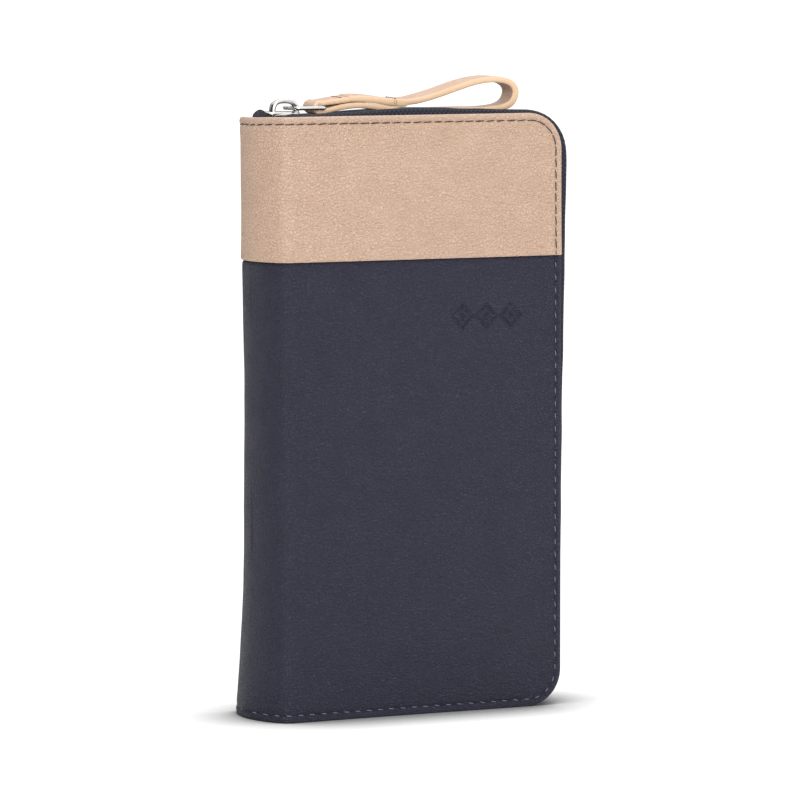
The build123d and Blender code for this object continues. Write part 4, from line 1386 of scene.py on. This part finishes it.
def coin_zip_side(side):
    """One tape of the coin pocket's zip with its coil."""
    name = SIDE_NAME[side]
    low, high = node_box(f"coin_zip_tape_{name}")
    near, far = sorted((abs(low[1]), abs(high[1])))
    y, z = np.meshgrid(np.linspace(near + 0.1, far - 0.05, 9), spaced(low[2] + 0.1, high[2] - 0.1, 2.5),
                       indexing="ij")
    arch = 0.06 * np.cos(z / 5.0)
    blocks = [np.stack([x, side * y, z], -1)
              for x in (high[0] - 0.06 + arch, np.full_like(y, low[0] + 0.05))]
    piece = sheet(f"coin_tape_{name}", blocks, 0.1, np.stack([z, y], -1), TAPE, "zip_tape")
    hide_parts(f"coin_zip_tape_{name}")
    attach(piece, "spine")

    low, high = node_box(f"coin_zip_coil_{name}")
    pitch = 1.1
    shift = 0.0 if side == FRONT else pitch / 2
    t, across, out, angle = coil_path(low[2], high[2] - 0.4, pitch, -0.35, 1.7, 0.2, 0.8, shift, side)
    radial = spread(np.sin(angle), side * np.cos(angle), 0.0)
    shape = Shape()
    tube(shape, np.column_stack([low[0] + out, across, t]), 0.2, radial, sides=6)
    cord = spread(low[0] + 0.5, side * 1.0, np.linspace(low[2], high[2], 60))
    tube(shape, cord, 0.19, (0, 1, 0), sides=6)
    piece = shape.build(f"coin_coil_{name}", [COIL], "zip_coil")
    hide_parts(f"coin_zip_coil_{name}")
    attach(piece, "spine")


def coin_pull():
    """The coin zip's pull: a flat grip with a wire frame at its head."""
    low, high = node_box("coin_pull")
    middle_x, thick = (low[0] + high[0]) / 2, high[0] - low[0]
    width, head, foot, bar = high[1] - low[1], high[2], low[2], 0.9
    grip_head = head - bar - 6.2
    grip = rounded_outline(width, grip_head - foot, 1.1, 7) + np.array([0, (grip_head + foot) / 2])
    shape = Shape()
    plate(shape, grip, low[0], high[0], 0.3, facing_x)
    eye = rounded_outline(width - bar, head - grip_head - bar / 2 + 0.4, 0.9, 6)
    eye = eye + np.array([0, (head - bar / 2 + grip_head - 0.4) / 2])
    path = spread(middle_x, eye[:, 0], eye[:, 1])
    keep = np.linalg.norm(np.diff(path, axis=0, append=path[:1]), axis=1) > 1e-6
    tube(shape, path[keep], thick / 2 * 0.98, (1, 0, 0), sides=10, closed=True)
    piece = shape.build("coin_zip_pull", [NICKEL], "nickel", crease=50.0)
    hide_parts("coin_pull")
    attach(piece, "coin_pull")


coin_pocket()

# ---- boards: the CAD nodes stay, in grey board ------------------------------------------------
for node in ("front_board", "back_board", "spine_board"):
    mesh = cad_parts[node].data
    mesh.materials.clear()
    mesh.materials.append(BOARD)


# ---- stage, light and camera ------------------------------------------------------------------
SHADOW_REACH = 0.034           # how far the soft contact shadow spreads, in metres


def flat_sheet(name, corners, material):
    """A single face that belongs to the studio, not to the object."""
    mesh = bpy.data.meshes.new(name)
    mesh.from_pydata(corners, [], [(0, 1, 2, 3)])
    mesh.materials.append(material)
    holder = bpy.data.objects.new(name, mesh)
    bpy.context.scene.collection.objects.link(holder)
    return holder


def stage():
    """A white floor whose glow fades near the object, which is its soft contact shadow."""
    n = Nodes("studio_floor")
    fine = n.noise(n.coordinates(source="Object"), 40.0, 2.0)
    near = n("AmbientOcclusion", {"Distance": SHADOW_REACH}, samples=12).outputs["AO"]
    glow = n.span(near, 0.52, 1.0)
    grey = n.mix(n.span(fine, 0.3, 0.7), (0.165, 0.165, 0.165), (0.17, 0.17, 0.17))
    material = n.finish(grey, 0.9, Emission_Color=(1.0, 1.0, 1.0, 1.0), Emission_Strength=glow,
                        Specular_IOR_Level=0.0)
    size = 6.0
    corners = [(-size, -size, 0), (size, -size, 0), (size, size, 0), (-size, size, 0)]
    flat_sheet("floor", corners, material)


def area_light(name, place, power, size):
    """A square soft light, aimed at the middle of the object."""
    lamp = bpy.data.lights.new(name, "AREA")
    lamp.energy, lamp.size = power, size
    holder = bpy.data.objects.new(name, lamp)
    bpy.context.scene.collection.objects.link(holder)
    holder.location = place
    holder.rotation_euler = (Vector((0, 0, 0.1)) - Vector(place)).to_track_quat("-Z", "Y").to_euler()
    holder.visible_camera = False


def dark_card(name, place, width, height, facing):
    """A black card that only mirror-like reflections see, as used round shiny metal."""
    n = Nodes(name)
    soft = n.noise(n.coordinates(source="Object"), 3.0, 2.0)
    black = n.mix(n.span(soft, 0.3, 0.7), (0.006, 0.006, 0.007), (0.010, 0.010, 0.011))
    w, h = width / 2, height / 2
    card = flat_sheet(name, [(-w, 0, -h), (w, 0, -h), (w, 0, h), (-w, 0, h)], n.finish(black, 0.95))
    card.location = place
    card.rotation_euler = (0, 0, math.radians(facing))
    card.visible_camera = card.visible_diffuse = card.visible_shadow = False
    card.visible_transmission = False


def light():
    """Even white surroundings and three soft lights; places in metres, powers in watts."""
    world = bpy.data.worlds.new("studio")
    bpy.context.scene.world = world
    world.use_nodes = True
    background = world.node_tree.nodes["Background"].inputs
    background["Color"].default_value = (1.0, 1.0, 1.0, 1.0)
    background["Strength"].default_value = 1.25
    area_light("key", (-0.35, -1.0, 0.60), 8.5, 0.6)
    area_light("fill", (0.9, -0.7, 0.45), 1.6, 0.8)
    area_light("top", (0.1, 0.15, 1.1), 3.0, 0.8)
    dark_card("card_left", (-1.0, 0.45, 0.5), 1.9, 1.1, 66.0)
    dark_card("card_behind", (0.35, 1.4, 0.35), 1.6, 0.7, 0.0)
    dark_card("card_right_high", (1.0, -0.9, 0.95), 0.5, 0.35, 45.0)
    view = bpy.context.scene.view_settings
    view.view_transform = "Standard"
    view.look = "None"
    view.exposure = 0.0
    view.gamma = 1.0


def camera():
    """A long lens at the photograph's viewing angle; distances in metres."""
    data = bpy.data.cameras.new("camera")
    holder = bpy.data.objects.new("camera", data)
    bpy.context.scene.collection.objects.link(holder)
    turn, pitch, distance = math.radians(27.0), math.radians(4.98), 1.92542
    target = Vector((-0.001, -0.0005, 0.1))
    level = math.cos(pitch)
    back = Vector((-math.sin(turn) * level, -math.cos(turn) * level, math.sin(pitch)))
    holder.location = target + back * distance
    holder.rotation_euler = (-back).to_track_quat("-Z", "Y").to_euler()
    data.lens, data.sensor_width = 258.85, 36.0
    data.shift_x, data.shift_y = 0.0029, 0.0156
    data.clip_start, data.clip_end = 0.05, 50.0
    bpy.context.scene.camera = holder


stage()
light()
camera()
